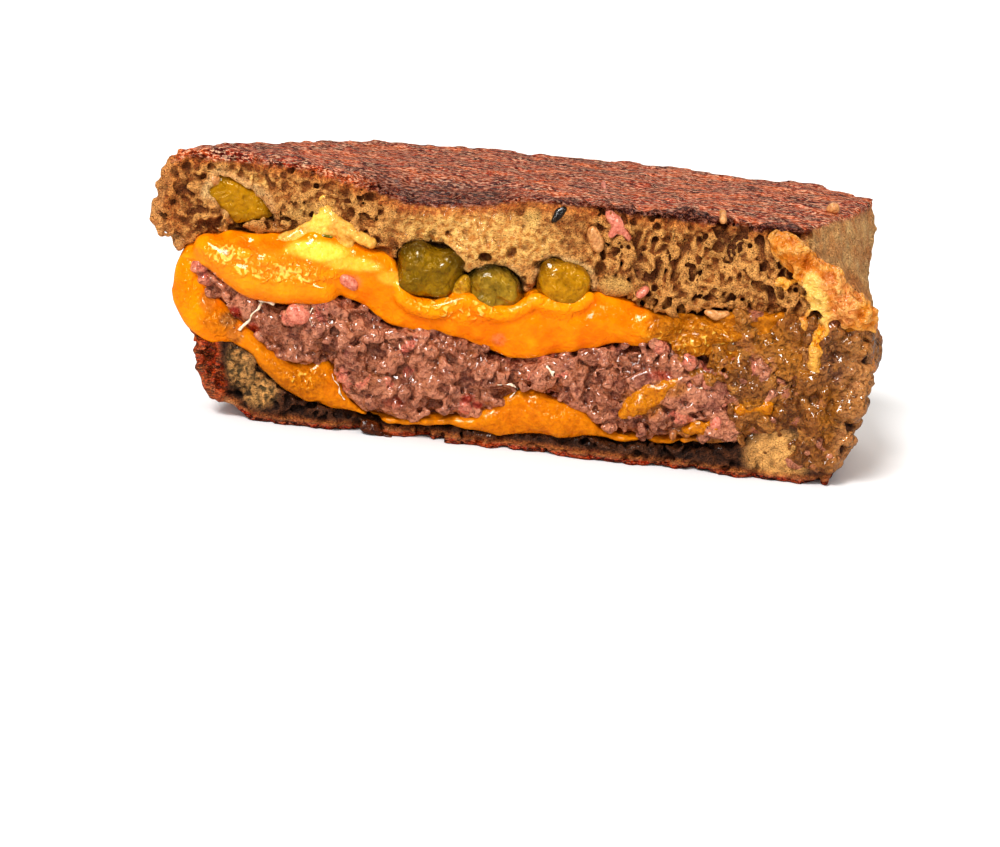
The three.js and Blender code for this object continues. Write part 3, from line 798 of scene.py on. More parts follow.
# The left tip stays behind the cheese that hangs over it.
LEFT_TIP = -59.6
field = np.maximum(field, LEFT_TIP - block.x)
points, faces = connected(*block.skin(field))
x, y, _ = points.T
food(
    "beef_patty", points, faces, ground_beef, "patty", "beef",
    deep=-block.at(base, points), tint=tints[block.read_near(which, points)],
    hollow=hollows(block, field, points),
    amber=ovals(points, (24.5, 12, 3.4, 2.6, 0.6), (29, 15.5, 3, 1.6, 0.6), (45, 13.6, 4, 1.6, 0.7),
                (34, 6, 4, 2.2, 0.7), (50, 22, 4, 4, 0.6)),
    tan=0.85 * fade(x, 43, 50) * fade(y, 24, 12),
    red=ovals(points, (-50, 20, 1.3, 1.2, 0.9), (-46.5, 17.5, 1.0, 1.0, 0.7), (-7, 9, 1.1, 0.8, 0.8),
              (-5, 8, 0.9, 0.7, 0.7), (-20, 7, 2, 1.2, 0.3), (27, 17.5, 2, 0.8, 0.5)),
)

# ------------------------------------------------------------------ upper cheese
# The upper layer of melted cheese: a fat rounded lip at the left with a lemon yellow
# patch of a second cheese, smooth orange in the middle, thin and greasy at the right.
block = Block((-69, -6, 10), (71, 58, 40), step=0.38)
base = block.read(softened(room_of["upper_cheese"], 2)) - MELTED_FULLER
lip_zone = fade(block.x, -30, -36) * fade(block.x, -60, -56) * fade(block.y, 6, 3) + 0 * block.z
greasy_zone = fade(block.x, 21, 28) * fade(block.y, 6, 3) + 0 * block.z
field = base + 0.22 * block.lumps(5.0, 41) + 0.14 * block.lumps(2.2, 42) + 0.06 * block.lumps(1.1, 43)
field += (0.5 * greasy_zone + 0.2 * lip_zone) * block.lumps((2.0, 2.0, 1.1), 44)
lip = along(
    [(-56.5, 0.2, 31.5), (-52, -0.6, 29), (-47, -1.0, 26.6), (-41, -0.8, 26), (-34, -0.2, 25.5)],
    [1.4, 2.3, 2.8, 2.5, 1.5],
)
block.press(field, *lip, width=1.6)
# Cheese that closes round the lower edges of the pickles.
round_the_pickles = along(
    [(-21.1, -0.9, 28.2), (-20.4, -1.2, 26.1), (-18.1, -1.3, 24.9), (-14.4, -1.4, 24.6),
     (-11, -1.3, 26), (-8.7, -1.1, 27.2), (-6.5, -1.2, 26), (-3.7, -1.3, 25.2), (-0.7, -1.2, 25.5),
     (1.5, -1.1, 27), (3.1, -1.0, 28.6), (5, -1.2, 28), (7.7, -1.3, 27.7), (10.9, -1.2, 28.4),
     (12.8, -0.8, 30.1)],
    [0.7, 0.9, 1.0, 1.1, 0.9, 0.7, 0.9, 1.0, 0.9, 0.8, 0.7, 0.9, 1.0, 0.9, 0.6],
)
block.press(field, *round_the_pickles, width=1.2)
points, faces = connected(*block.skin(field))
upper_melt = cheese_finish(
    "upper cheese",
    ("greasy", ((126, 68, 4), (200, 124, 26))),
    ("lemon", ((246, 196, 60), (252, 224, 96))),
    ("stain", ((190, 84, 50), (226, 140, 110))),
)
x, y, _ = points.T
food(
    "upper_cheese_melt", points, faces, upper_melt, "upper_cheese", "upper_cheese",
    most_triangles=CHEESE_TRIANGLES,
    hollow=hollows(block, field, points, 4),
    glints=np.maximum(
        ovals(points, (-51.5, 30.6, 5, 2.2, 1.0), (-42, 28.8, 10, 2.0, 1.0), (-11, 25.6, 9, 2.4, 0.9),
              (33, 24, 12, 4, 0.8), (4, 27.4, 8, 2.2, 0.6)),
        0.06),
    greasy=fade(x, 21, 26) * fade(y, 9, 4) * 0.95,
    # The faint wide last oval yellows the whole lip a little: partly the second cheese, partly painted
    # highlight.
    lemon=ovals(points, (-36, 33, 5.0, 1.7, 0.95), (-30, 31.3, 5, 1.2, 0.6), (-22, 29.5, 3, 1.2, 0.4),
                (-46, 28, 13, 4.5, 0.1)),
    stain=ovals(points, (-29.5, 28, 1.6, 1.3, 0.5), (-2.5, 20.5, 1.2, 1.2, 0.4)),
)

# ------------------------------------------------------------------ pickles
# Four pieces of green pickle that the cut went through: two chunks of olive flesh, a
# dark end with bumpy skin and a flat wedge baked into the upper slice.


def pickle_finish(name, dark, light, rim):
    """Wet pickle flesh, clear enough for light to sink in."""
    pickle = Finish(
        name, Subsurface_Weight=0.35, Subsurface_Scale=0.002, Subsurface_Radius=(1.0, 0.8, 0.1),
        Roughness=0.15, Specular_IOR_Level=0.4, Specular_Tint=WARM,
        Coat_Weight=0.8, Coat_Roughness=0.03, Coat_IOR=1.4,
    )
    clouds, grains, specks, folds = pickle.grain(3.0, 1.2, "Clouds", "Grains", "Specks", "Folds")
    pickle.colour = pickle.mix(clouds, dark, light)
    pickle.paint(light, grains, 0.0, 1.0, 0.35)
    pickle.paint(rim, pickle.mask("rim"))
    pickle.paint((70, 46, 6), specks, 0.0, 1.0, 0.3)
    return pickle.finished((0.8, folds), (0.12, grains))


# Each node with its slot, its seed, how bumpy it is, and its dark, light and rim colours.
PICKLES = (
    ("pickle_round", "pickle", 51, 0.4, ((88, 64, 0), (156, 116, 4), (84, 60, 0))),
    ("pickle_dark", "pickle_skin", 52, 0.55, ((84, 66, 6), (186, 144, 40), (40, 32, 2))),
    ("pickle_pale", "pickle", 53, 0.3, ((130, 84, 0), (198, 140, 10), (112, 74, 0))),
    ("pickle_wedge", "pickle", 54, 0.14, ((132, 92, 0), (188, 132, 0), (112, 78, 0))),
)
# How much fuller a chunk is than its solid, and the room its bumps need round it.
CHUNK_FULLER = 0.15
BUMP_ROOM = 2.5
for node, slot, seed, bumps, colours in PICKLES:
    corners = box_of(node) + TO_CUT
    block = Block(corners[0] - BUMP_ROOM, corners[1] + BUMP_ROOM, step=0.33, fine=0.33, widest=0.6)
    base = block.read(softened(distance_of(node), 1)) - CHUNK_FULLER
    field = base + bumps * block.lumps(2.4, seed) + 0.35 * bumps * block.lumps(1.0, seed + 10)
    points, faces = connected(*block.skin(field))
    middle = corners.mean(0)
    half = (corners[1] - corners[0]) / 2
    out = np.sqrt((((points - middle) / half)[:, [0, 2]] ** 2).sum(1))
    flesh = pickle_finish(node, *colours)
    food(node + "_flesh", points, faces, flesh, node, slot, rim=fade(out, 0.75, 1.1))

# ------------------------------------------------------------------ upper slice
# The upper slice: close golden crumb soaked with fat in the middle, brown grains at
# the left and open spongy strands at the right, under a dark fried face.
block = Block((-72, -3.4, 17), (71, 57, 51), step=0.38)
base = block.read(softened(room_of["upper_slice"], 1)) - FULLER
rind = -block.read(loaf, BEHIND_CUT)
# How deep each point lies under the fried face, straight down, and whether the face
# is the outside nearest to it.
heights = ROOM_LOW[2] + VOXEL * np.arange(ROOM_SHAPE[2])
filled = room_of["upper_slice"] < 0
highest = ROOM_SHAPE[2] - 1 - filled[:, :, ::-1].argmax(2)
NO_BREAD = -20
top = np.where(filled.any(2), heights[highest] + VOXEL / 2, NO_BREAD)
under_top = block.read((top[:, :, None] - heights).astype(np.float32), 1.5)
faces_up = fade(-np.gradient(rind, block.axes[2], axis=2), 0.35, 0.75)
cut = fade(block.y, 5.5, 2.5)
crumb_only = fade(rind, 0.2, 0.9)
crags = 0.25 * block.lumps(4.0, 61) + 0.24 * block.lumps(1.6, 62) + 0.18 * block.lumps(0.7, 63)
skin = 0.12 * block.lumps((3.2, 1.6, 1.4), 64) + 0.14 * block.lumps((1.4, 1.1, 0.7), 65)
spongy = fade(block.x, 9, 15) * fade(block.x, 66, 60) + 0 * block.z
grainy = fade(block.x, -22, -26) + 0 * block.z
soft = 1 - np.maximum(spongy, grainy)
spongy_holes = (
    strands(block, (1.3, 1.3, 1.9), 66, 0.22, 2.2) + torn(block, (0.7, 0.8, 0.9), 67, 0.35, 0.6)
    + torn(block, (2.6, 1.6, 1.6), 73, 0.2, 0.7) + 0.3 * block.lumps(0.65, 74)
)
grainy_holes = (
    strands(block, (1.4, 1.2, 1.2), 68, 0.25, 1.0) + torn(block, 0.75, 69, 0.4, 0.5)
    + 0.3 * block.lumps(0.8, 72)
)
soft_holes = torn(block, 1.2, 70, 0.1, 0.6) + torn(block, 0.7, 71, 0.3, 0.25)
holes = spongy * spongy_holes + grainy * grainy_holes + soft * soft_holes
field = base + cut * (crags * (1 - 0.35 * soft) + crumb_only * holes) + (1 - cut) * skin
# The fried face swells a little towards the right and the back.
field -= 1.1 * faces_up * fade(block.x, 10, 55) * fade(block.y, 12, 40)
# Larger holes in the cut, as x, z, half width and half height.
for x, z, wide, high in (
    (-27.8, 43.4, 1.5, 0.8), (-6.5, 35.0, 1.2, 0.9), (4.4, 34.6, 2.2, 0.9), (14.1, 35.2, 1.0, 1.4),
    (21.5, 35.2, 0.9, 1.6), (-17, 35.4, 4.6, 0.8), (43.8, 35, 1.4, 0.7), (-24.5, 34.0, 1.6, 0.6),
):
    block.press(field, [(x, -0.3, z)], [np.array([wide, 1.8, high])], width=0.5, carve=True)
# The solid heart behind its crumb.
UPPER_HEART = 1.9
field = np.minimum(field, base + UPPER_HEART)
# Lumps of pale crumb that stand out of the cut face.
block.press(
    field,
    [(0.9, -0.3, 44), (1.7, -0.3, 42), (17.0, 0.2, 32.2), (-56.5, -0.2, 42.8), (-58.5, -0.3, 41.8)],
    np.array([(1.4, 1.2, 1.6), (1.3, 1.1, 1.3), (3.4, 1.0, 1.8), (1.2, 1.0, 0.9), (1.7, 1.3, 1.3)]),
    width=0.4,
)
points, faces = connected(*block.skin(field))
under = block.at(rind, points)
below_top = block.at(under_top, points)
beside_cheese = block.at(block.read(room_of["upper_cheese"]), points)
x, y, z = points.T
upward = block.at(faces_up, points)
upper_bread = bread_finish(
    "upper bread",
    dark=(138, 74, 22), middle=(196, 116, 44), light=(248, 178, 98), pale=(202, 130, 54),
    bright=(246, 192, 108), soaked=(190, 108, 20), pit=(104, 52, 16),
    crust=((226, 148, 78), (255, 206, 136)),
    fried=((82, 10, 0), (196, 68, 26), (240, 110, 42), (255, 200, 160)),
)
# The torn crumb at the left end, where the crust is broken off.
torn_end = fade(y, 9, 4)
food(
    "upper_slice_bread", points, faces, upper_bread, "upper_slice", "upper_bread",
    deep=-block.at(base, points), hollow=hollows(block, field, points),
    crust=fade(under, 1.4, 0.5) * (1 - upward) * (1 - 0.7 * fade(x, -56, -62) * torn_end),
    fried=fade(below_top, 1.3, 0.6) * upward * fade(z, 39, 42) * fade(x, -64, -61.5),
    golden=np.maximum(
        fade(below_top, 3.2, 1.4) * 0.75 * upward, 0.45 * fade(x, -58, -64) * torn_end),
    pale=ovals(points, (-8, 38.5, 15, 4.6, 0.95), (-50.5, 44, 5, 1.3, 0.8), (-12, 34, 6, 2.5, 0.7)),
    bright=ovals(points, (17.0, 32.2, 3, 2.0, 0.7), (1.0, 43.3, 1.5, 2.3, 0.9),
                 (-38, 38, 4.5, 3.2, 0.55)),
    soaked=fade(beside_cheese, 2.6, 0.4) * 0.6,
    wet=np.maximum(fade(beside_cheese, 2.5, 0.3) * 0.6, ovals(points, (-8, 38.5, 15, 4.6, 0.7))),
    # Char and painted sheen along the fried edge and over the seared front.
    charred=upward * np.maximum(
        0.85 * fade(y, 2.4, 0.8) * fade(x, -50, 30),
        0.7 * fade(x, -32, -26) * fade(x, 1, -6) * fade(y, 12, 3)),
)

# ------------------------------------------------------------------ cheese flap
# Cheese that ran out of the right corner and fried crisp: orange and crumbly at the
# top, a thick pale lip with a brown edge, and a web with holes below it.
corners = box_of("cheese_flap") + TO_CUT
# Room round the solid for the crumbs at its left and the drip below it.
DRIP_ROOM = (4, 2.5, 12)
block = Block(corners[0] - DRIP_ROOM, corners[1] + BUMP_ROOM, step=0.3, widest=0.5)
field = block.read(softened(distance_of("cheese_flap"), 1)) - CHUNK_FULLER
# Crumbs at the top, the lip, its brown edge, the web and the drip, from top to bottom.
for path, sizes in (
    ([(44, -0.6, 45), (46, -1.2, 43.5), (48.5, -1.5, 41), (50.5, -1.2, 39)], [0.9, 1.5, 1.8, 1.2]),
    ([(50.2, -1.2, 38.4), (51.5, -1.9, 36.2), (53.2, -2.0, 33.8), (55.2, -1.6, 31.4)],
     [0.8, 1.3, 1.4, 0.8]),
    ([(53, -0.6, 39), (55.5, -1.2, 36.5), (57.5, -1.4, 33.6), (58.5, -1.2, 30.8)], [1.2, 1.7, 1.7, 1.1]),
    ([(50.5, -0.6, 37.5), (47.5, -0.8, 36.8), (45.2, -0.4, 35.8)], [0.8, 0.6, 0.45]),
    ([(51.5, -0.8, 35), (49, -0.9, 33), (48.2, -0.7, 30.2)], [0.8, 0.5, 0.6]),
    ([(47.4, -0.7, 36.6), (47.0, -0.8, 34.4), (48.6, -0.8, 33)], [0.45, 0.4, 0.4]),
    ([(54.2, -1.0, 31.5), (54.3, -1.2, 27.5), (54.5, -1.1, 24), (54.4, -0.9, 21.4)], [1.3, 1.1, 0.8, 1.0]),
    ([(51.5, -0.7, 31.5), (51.2, -0.9, 28), (51.6, -0.7, 26)], [0.9, 0.7, 0.5]),
):
    block.press(field, *along(path, sizes), width=0.5)
field += 0.3 * block.lumps(2.0, 71) + 0.22 * block.lumps(1.0, 72) + 0.12 * block.lumps(0.65, 73)
field += torn(block, 1.3, 74, 0.2, 0.6)
points, faces = connected(*block.skin(field))
x, y, z = points.T
fried_cheese = Finish(
    "fried cheese", Subsurface_Weight=0.1, Subsurface_Scale=0.001, Subsurface_Radius=(1.0, 0.5, 0.1),
    Roughness=0.16, Specular_IOR_Level=0.6,
)
mask, mix, paint = fried_cheese.mask, fried_cheese.mix, fried_cheese.paint
clouds, grains, fuzz, folds = fried_cheese.grain(2.4, 0.8, "Clouds", "Grains", "Fuzz", "Folds")
fried_cheese.colour = mix(clouds, (186, 96, 18), (226, 138, 38))
paint((246, 194, 98), mask("lip"))
paint(mix(grains, (188, 94, 26), (242, 166, 92)), mask("crisp"))
paint(mix(grains, (196, 112, 18), (250, 170, 40)), mask("greasy"))
# Painted highlight on the ridges and painted shade in the hollows.
paint((255, 206, 120), mask("hollow"), 0.0, -0.2, 0.35)
paint((170, 78, 10), mask("hollow"), 0.05, 0.35, 0.85)
crisp_finish = fried_cheese.finished((0.9, folds), (0.08, fuzz))
food(
    "cheese_flap_crisp", points, faces, crisp_finish, "cheese_flap", "fried_cheese",
    hollow=hollows(block, field, points),
    lip=ovals(points, (51.2, 37, 1.5, 2.4, 1.0), (53, 34, 1.6, 2.8, 1.0), (54.6, 31.8, 1.3, 1.8, 0.8)),
    crisp=ovals(points, (57.5, 34, 2.4, 4.5, 0.95), (55, 38, 2.4, 2.2, 0.8)),
    greasy=np.maximum(fade(z, 31, 28), fade(x, 49.8, 48) * fade(z, 40, 37)),
)

# ------------------------------------------------------------------ web of pale cheese
# A stretched web of the second, cream-coloured cheese that hangs between the pickle
# wedge and the lip, with a strand that runs off to the right.
block = Block((-48, -4, 29), (-22, 4, 45), step=0.28, fine=0.28, widest=0.6)
field = block.empty()
for path, sizes in (
    ([(-34.4, 0.1, 38.2), (-31.8, -0.4, 37.3), (-28.8, -0.7, 36.0), (-26.8, -0.6, 35.3)],
     [1.3, 0.8, 0.7, 0.5]),
    ([(-32.4, -0.4, 37.0), (-31.6, -0.4, 35.6), (-30.6, -0.3, 34.2)], [0.6, 0.5, 0.5]),
):
    block.press(field, *along(path, sizes), width=1.0)
block.press(
    field,
    [(-35.7, 0.2, 38.8), (-37.0, 0.2, 36.6), (-40.2, 0.3, 34.6), (-36.5, 0.2, 33.6)],
    np.array([(1.7, 1.1, 2.4), (2.8, 1.2, 1.8), (3.4, 1.1, 1.2), (6.0, 1.1, 1.2)]),
    width=1.4,
)
field += 0.2 * block.lumps(2.4, 81) + 0.06 * block.lumps(1.0, 82)
points, faces = connected(*block.skin(field))
web = cheese_finish(
    "pale cheese",
    ("cream", ((206, 138, 52), (240, 190, 98))),
    ("lemon", ((246, 196, 62), (252, 224, 104))),
)
food(
    "pale_cheese_web", points, faces, web, None, "upper_cheese",
    hollow=hollows(block, field, points, 4), glints=0.15, cream=1.0,
    lemon=ovals(points, (-36, 33.6, 5, 1.6, 1.0), (-36.4, 38, 2, 2.4, 0.5)),
)

# ------------------------------------------------------------------ loose bits
# Bits of beef and crumb that the knife dragged over the cut face, each a lump
# half pressed into it, and the mix of crumb and beef crushed together at the right.
inside = loaf < 0.1
NOT_THERE = 2.0
front = np.where(inside.any(1), ROOM_LOW[1] + VOXEL * inside.argmax(1), NOT_THERE)


def front_at(x, z):
    """How far forward the cut face lies at places on it."""
    i, k = [
        np.clip(((places - ROOM_LOW[axis]) / VOXEL).astype(int), 0, ROOM_SHAPE[axis] - 1)
        for axis, places in ((0, x), (2, z))
    ]
    return front[i, k]


def scatter(rng, low_x, high_x, low_z, high_z, count, size):
    """Random lumps over a part of the cut face: x, z and size of each."""
    return np.stack([
        rng.uniform(low_x, high_x, count),
        rng.uniform(low_z, high_z, count),
        size * np.exp(0.35 * rng.standard_normal(count)),
    ], 1)


def lumps_piece(name, spots, material, slot, seed, least_tint=0.0, blend=0.2, plain=(), **made):
    """One piece of many lumps on the cut face, each given as x, z and size."""
    rng = np.random.default_rng(seed)
    x, z, size = np.array(spots).T
    low = (x.min() - 4, -4.5, z.min() - 4)
    block = Block(low, (x.max() + 4, 4, z.max() + 4), step=0.33, fine=0.33, widest=0.6)
    field = block.empty()
    centres = np.stack([x, front_at(x, z) + 0.25 * size, z], 1)
    radii = size[:, None] * rng.uniform(0.65, 1.35, (len(spots), 3))
    which = block.press(field, centres, radii, random_turns(len(spots), seed), blend)
    field += 0.14 * block.lumps(1.1, seed + 1) + 0.12 * block.lumps(0.65, seed + 2)
    points, faces = connected(*block.skin(field), least=60)
    tints = least_tint + (1 - least_tint) * rng.random(len(spots))
    tint = tints[block.read_near(which, points)]
    masks = dict.fromkeys(plain, 0.0)
    masks.update({key: make(points, tint) for key, make in made.items()})
    hollow = hollows(block, field, points)
    food(name, points, faces, material, None, slot, hollow=hollow, tint=tint, **masks)


rng = np.random.default_rng(91)
meat_spots = np.concatenate([
    scatter(rng, -57.5, -54, 24.5, 27.5, 12, 1.0),
    scatter(rng, -56, -50, 22.5, 25.5, 16, 1.1),
    scatter(rng, -51.5, -47, 20.5, 23, 10, 0.9),
    [(-38.5, 21.2, 2.1), (-40.6, 20.2, 1.2), (-27.6, 19.6, 2.2), (-25.6, 18.4, 1.7), (-29.6, 18.6, 1.5)],
    scatter(rng, 22, 27, 21, 23, 7, 0.7),
    scatter(rng, 36, 41, 6, 14, 22, 1.0),
    scatter(rng, 42, 49, 11, 21, 20, 0.95),
    scatter(rng, 52, 60, 4, 8.5, 22, 1.0),
    scatter(rng, 49, 52, 24, 27, 6, 1.0),
    scatter(rng, 30, 52, 15, 22, 50, 0.8),
])
# The lighter tints of these bits are partly the beef's own pink and partly painted light, against the
# shade of the cheese lip over them.
lumps_piece("beef_bits", meat_spots, ground_beef, "beef", 92, least_tint=0.4,
            plain=("deep", "amber", "tan", "red"))

mixed_spots = np.concatenate([
    scatter(rng, 40, 60, 9, 30, 220, 1.25),
    scatter(rng, 52, 61.5, 3, 31, 130, 1.1),
    scatter(rng, 59, 64, 8, 31, 60, 0.8),
    scatter(rng, 42, 61, 4, 30, 110, 0.6),
    scatter(rng, 30, 40, 17, 26, 36, 0.8),
])
mixed = Finish(
    "crushed mix", Subsurface_Weight=0.1, Subsurface_Scale=0.001, Roughness=0.3,
    Specular_IOR_Level=0.4, Specular_Tint=WARM, Coat_Weight=0.9, Coat_Roughness=0.05,
)
mask, mix, paint = mixed.mask, mixed.mix, mixed.paint
clouds, grains, folds = mixed.grain(4.0, 0.8, "Clouds", "Grains", "Folds")
mixed.colour = mix(mixed.spread(mask("tint"), 0.0, 0.5), (92, 48, 22), (136, 80, 34))
paint((186, 124, 60), mask("tint"), 0.55, 0.8)
paint((170, 102, 80), mask("tint"), 0.82, 0.86)
paint(mix(grains, (136, 78, 6), (196, 124, 18)), mask("amber"))
paint(mix(grains, (92, 56, 42), (136, 92, 70)), mask("ashen"))
paint(mix(grains, (168, 104, 52), (228, 166, 108)), mask("toasted"))
paint((162, 104, 48), clouds, 0.5, 0.9, 0.6)
paint((174, 112, 50), grains, 0.4, 0.9, 0.6)
paint((92, 48, 18), grains, 0.35, 0.0, 0.6)
# Painted shade in the hollows.
paint((76, 36, 12), mask("hollow"), 0.0, 0.3, 0.85)
lumps_piece(
    "crushed_mix", mixed_spots, mixed.finished((1.0, folds), (0.15, grains)), "lower_bread", 95, blend=0.6,
    amber=lambda p, t: ovals(p, (45, 13.6, 4, 1.8, 1.0), (50, 23, 5, 3, 0.8), (58, 14, 2, 6, 0.6),
                             (34, 21, 6, 4, 0.7), (44, 26, 6, 3, 0.7)),
    toasted=lambda p, t: 0.8 * fade(p[:, 0], 58.5, 61.5),
    ashen=lambda p, t: ovals(p, (58.5, 25, 3.6, 6, 0.8), (41, 6, 3, 3, 0.5)),
)

crumb_spots = np.concatenate([
    scatter(rng, 60.5, 64.5, 33, 37.5, 18, 1.0),
    [(62.5, 36.4, 1.5), (61.5, 34.4, 1.4), (-35.0, 41.6, 1.0), (-33.6, 40.4, 0.8)],
])
lumps_piece("crust_crumbs", crumb_spots, upper_bread, "upper_bread", 96,
            plain=("deep", "crust", "fried", "golden", "soaked", "wet", "charred"),
            pale=lambda p, t: 0.4, bright=lambda p, t: 0.3 * t)

# ------------------------------------------------------------------ seeds and juice
# Caraway seeds and a rye kernel from the bread, a shred of pink beef, and beads and
# threads of clear meat juice on the cut face, painted cream white as their highlights.


def strokes_piece(name, strokes, tones, rough, slot, raised=0.3, wave=0.1):
    """One piece of strands on the cut face: each a path of x and z, or x, y and z, and its radii."""
    paths = []
    for places, radii in strokes:
        places = np.array(places, float)
        if places.shape[1] == 2:
            x, z = places.T
            places = np.stack([x, front_at(x, z) - raised, z], 1)
        paths.append(along(places, radii, 0.25))
    ends = np.concatenate([middles for middles, _ in paths])
    block = Block(ends.min(0) - BUMP_ROOM, ends.max(0) + BUMP_ROOM, step=0.25, fine=0.25, widest=0.6)
    field = block.empty()
    for middles, sizes in paths:
        block.press(field, middles, sizes, width=0.3)
    field += wave * block.lumps(1.0, len(strokes))
    points, faces = connected(*block.skin(field), least=20)
    wet = Finish(
        name, Subsurface_Weight=0.1, Subsurface_Scale=0.001, Roughness=rough, Specular_IOR_Level=0.5,
        Coat_Weight=0.5, Coat_Roughness=0.04,
    )
    grains, folds = wet.grain(1.6, 0.7, "Grains", "Folds")
    wet.colour = wet.mix(grains, *tones)
    food(name, points, faces, wet.finished((0.4, folds)), None, slot)


# Meat juice: its cream white colour is a painted highlight of the light that clear juice mirrors.
strokes_piece("juice", (
    ([(-48.8, 17.0), (-48.0, 18.1), (-47.2, 18.9), (-46.8, 20.2), (-45.7, 21.3), (-45.4, 22.2)],
     [0.26, 0.26, 0.13, 0.16, 0.18, 0.24]),
    ([(-45.8, 22.6), (-44.6, 22.9), (-43.2, 22.4)], [0.28, 0.36, 0.16]),
    ([(-36.0, 22.8), (-36.7, 21.2), (-35.8, 19.6)], [0.12, 0.16, 0.12]),
    ([(-31.6, 10.8), (-31.2, 9.6), (-30.2, 8.8), (-29.9, 7.4), (-28.9, 6.2)], [0.1, 0.18, 0.12, 0.2, 0.1]),
    ([(-1.9, 12.6), (0.6, 12.8), (2.0, 12.0), (0.7, 9.9)], [0.1, 0.14, 0.14, 0.1]),
    ([(6.6, 16.7), (7.7, 15.6), (8.1, 14.2)], [0.3, 0.25, 0.15]),
    ([(7.6, 15.8), (9.0, 16.6)], [0.2, 0.15]),
    ([(32.9, 13.7), (33.4, 15.4), (34.6, 16.2), (36.2, 13.9)], [0.1, 0.15, 0.15, 0.1]),
    ([(-20.1, 17.7), (-19.4, 15.9), (-20.2, 14.7)], [0.1, 0.14, 0.1]),
), ((240, 204, 164), (255, 242, 222)), 0.05, "beef", raised=0.5, wave=0.06)
strokes_piece("cheese_pockets", (
    ([(21.6, 9.6), (24.0, 12.0), (27.0, 15.0), (30.0, 16.4)], [1.0, 2.3, 2.0, 0.8]),
    ([(42.2, 13.2), (46.4, 13.9)], [1.1, 1.5]),
    ([(33.5, 8.4), (37.2, 9.4)], [1.0, 1.3]),
), ((166, 92, 2), (214, 134, 10)), 0.06, "lower_cheese", raised=-0.1, wave=0.25)
strokes_piece("pickle_pulp", (
    ([(-13.0, 27.2), (-10.2, 29.2), (-8.4, 28.8), (-6.2, 27.8)], [0.9, 1.5, 1.5, 1.0]),
    ([(-10.6, 30.6), (-8.6, 31.4)], [1.0, 0.9]),
), ((150, 102, 8), (214, 160, 40)), 0.05, "pickle", raised=0.2, wave=0.3)
strokes_piece("dark_drops", (
    ([(-24.8, 1.6), (-23.2, 1.4)], [1.1, 1.2]),
    ([(-21.6, -0.2), (-20.4, 0.0)], [0.8, 0.7]),
    ([(-22.6, 0.6), (-22.0, 0.4)], [0.7, 0.7]),
), ((52, 16, 4), (96, 44, 12)), 0.05, "beef", raised=0.6)
strokes_piece("pink_beef", (
    ([(13.4, 47.2), (14.6, 45.2), (16.2, 43.4), (18.3, 41.3)], [0.45, 0.7, 1.0, 0.6]),
    ([(16.2, 43.4), (15.2, 41.5)], [0.9, 0.5]),
    ([(-38.9, 21.3), (-38.2, 21.1)], [1.9, 1.9]),
    ([(-31.0, 28.4), (-29.2, 27.2)], [0.9, 0.8]),
    ([(21.6, 31.4), (22.6, 32.4)], [0.6, 0.6]),
    ([(38.4, 12.4), (38.0, 9.6), (38.8, 7.6)], [0.8, 1.0, 0.6]),
    ([(43.0, 14.6), (44.0, 11.4)], [0.6, 0.6]),
), ((190, 98, 76), (238, 152, 126)), 0.15, "beef", raised=0.4)
strokes_piece("rye_seeds", (
    ([(4.8, 43.3), (5.6, 44.3), (6.4, 45.2)], [0.6, 0.8, 0.4]),
    ([(-51.6, 40.8), (-49.9, 40.3)], [0.3, 0.45]),
    ([(-52.6, 41.6), (-52.4, 41.5)], [0.22, 0.22]),
), ((14, 10, 8), (52, 40, 30)), 0.2, "upper_bread", raised=0.4)
strokes_piece("rye_kernels", (
    ([(11.9, 41.8), (12.6, 40.4), (13.3, 39.0)], [0.9, 1.2, 1.0]),
    ([(33.9, 29.5), (35.7, 29.2), (37.4, 29.9)], [0.5, 0.8, 0.4]),
    ([(34.5, 47.4), (34.6, 46.2)], [0.6, 0.6]),
    ([(-55.6, 43.2), (-54.2, 42.8)], [1.0, 1.0]),
    ([(56.1, 20.7, 47.3), (56.3, 20.7, 47.3)], [1.1, 1.1]),
), ((176, 112, 58), (230, 168, 106)), 0.3, "upper_bread", raised=0.2)
strokes_piece("green_tip", (
    ([(-36.6, -0.8, 35.1), (-35.4, -0.9, 35.6), (-34.0, -0.8, 35.5)], [0.3, 0.5, 0.3]),
), ((70, 66, 2), (150, 130, 16)), 0.1, "pickle")

# ------------------------------------------------------------------ finish
floor_mesh = bpy.data.meshes.new("floor")
floor_mesh.from_pydata([(-3, -3, 0), (3, -3, 0), (3, 3, 0), (-3, 3, 0)], [], [(0, 1, 2, 3)])
floor = bpy.data.objects.new("floor", floor_mesh)
bpy.context.scene.collection.objects.link(floor)
floor_finish = Finish("floor", Roughness=0.7, Specular_IOR_Level=0.2)
mirrored = floor_finish.add("LightPath").outputs["Is Glossy Ray"]
floor_colour = floor_finish.mix(mirrored, grey(0.94), grey(0.2))
floor_finish.join(floor_colour, floor_finish.shader["Base Color"])
floor_mesh.materials.append(floor_finish.material)

# The camera looks down on the half by about 15 degrees and leans a little, as the
# half lay tilted before it.
AIM = Vector((-0.55, 0.0, 4.8))
CAMERA = Vector((-0.55, -415.35, 116.11))
LEAN = math.radians(6.5)
LENS = 85.45


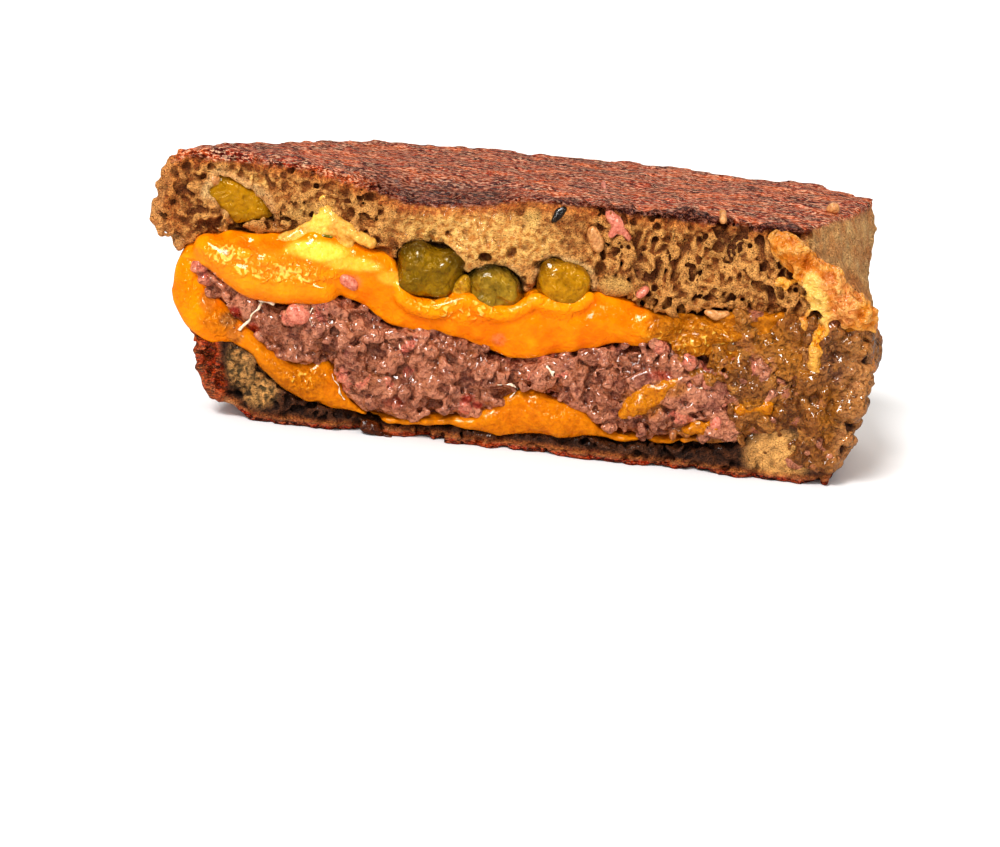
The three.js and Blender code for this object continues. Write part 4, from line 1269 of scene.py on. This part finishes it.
def facing(place, aim):
    """Where a camera or a lamp stands, in the frame's metres, turned to face a point."""
    turn = (aim - place).to_track_quat("-Z", "Y").to_matrix().to_4x4()
    return Matrix.Translation((place - Vector(TO_CUT)) * MM) @ turn


camera_data = bpy.data.cameras.new("camera")
camera_data.lens = LENS
camera_data.sensor_width = 36
camera = bpy.data.objects.new("camera", camera_data)
bpy.context.scene.collection.objects.link(camera)
camera.matrix_world = facing(CAMERA, AIM) @ Matrix.Rotation(LEAN, 4, "Z")
bpy.context.scene.camera = camera


def lamp(name, place, aim, size, power, colour=(1, 1, 1)):
    """A soft box at a place in millimetres, facing the half."""
    data = bpy.data.lights.new(name, "AREA")
    data.shape = "RECTANGLE"
    data.size, data.size_y = size[0] * MM, size[1] * MM
    data.energy = power
    data.color = colour
    box = bpy.data.objects.new(name, data)
    bpy.context.scene.collection.objects.link(box)
    box.matrix_world = facing(Vector(place), Vector(aim))


lamp("top", (40, 420, 420), (0, 20, 30), (500, 200), 0.75, (1.0, 0.92, 0.82))
lamp("glints", (-180, -560, 260), (0, 0, 25), (70, 110), 0.6)
lamp("glints from the right", (260, -520, 330), (0, 0, 25), (50, 70), 0.3)
sun_data = bpy.data.lights.new("key", "SUN")
sun_data.energy = 2.2
sun_data.angle = math.radians(18)
sun = bpy.data.objects.new("key", sun_data)
sun.rotation_euler = (math.radians(42), 0, math.radians(-28))
bpy.context.scene.collection.objects.link(sun)

# White behind the half, less than white for the light it gets, and dim in what the
# wet food mirrors, so that the lamps alone make its glints.
world = bpy.data.worlds.new("studio")
bpy.context.scene.world = world
world.use_nodes = True
world.cycles.sampling_method = "NONE"
sky = Nodes(world.node_tree)
ray = sky.add("LightPath").outputs
seen = sky.spread(ray["Is Camera Ray"], 0.0, 1.0, 0.5, 1.0)
mirrored = sky.spread(ray["Is Glossy Ray"], 0.0, 1.0, 0.0, -0.4)
background = sky.tree.nodes["Background"].inputs
sky.join(sky.sums("ADD", seen, mirrored), background["Strength"])
background["Color"].default_value = (1, 1, 1, 1)
bpy.context.scene.view_settings.view_transform = "Standard"
bpy.context.scene.view_settings.look = "Medium High Contrast"
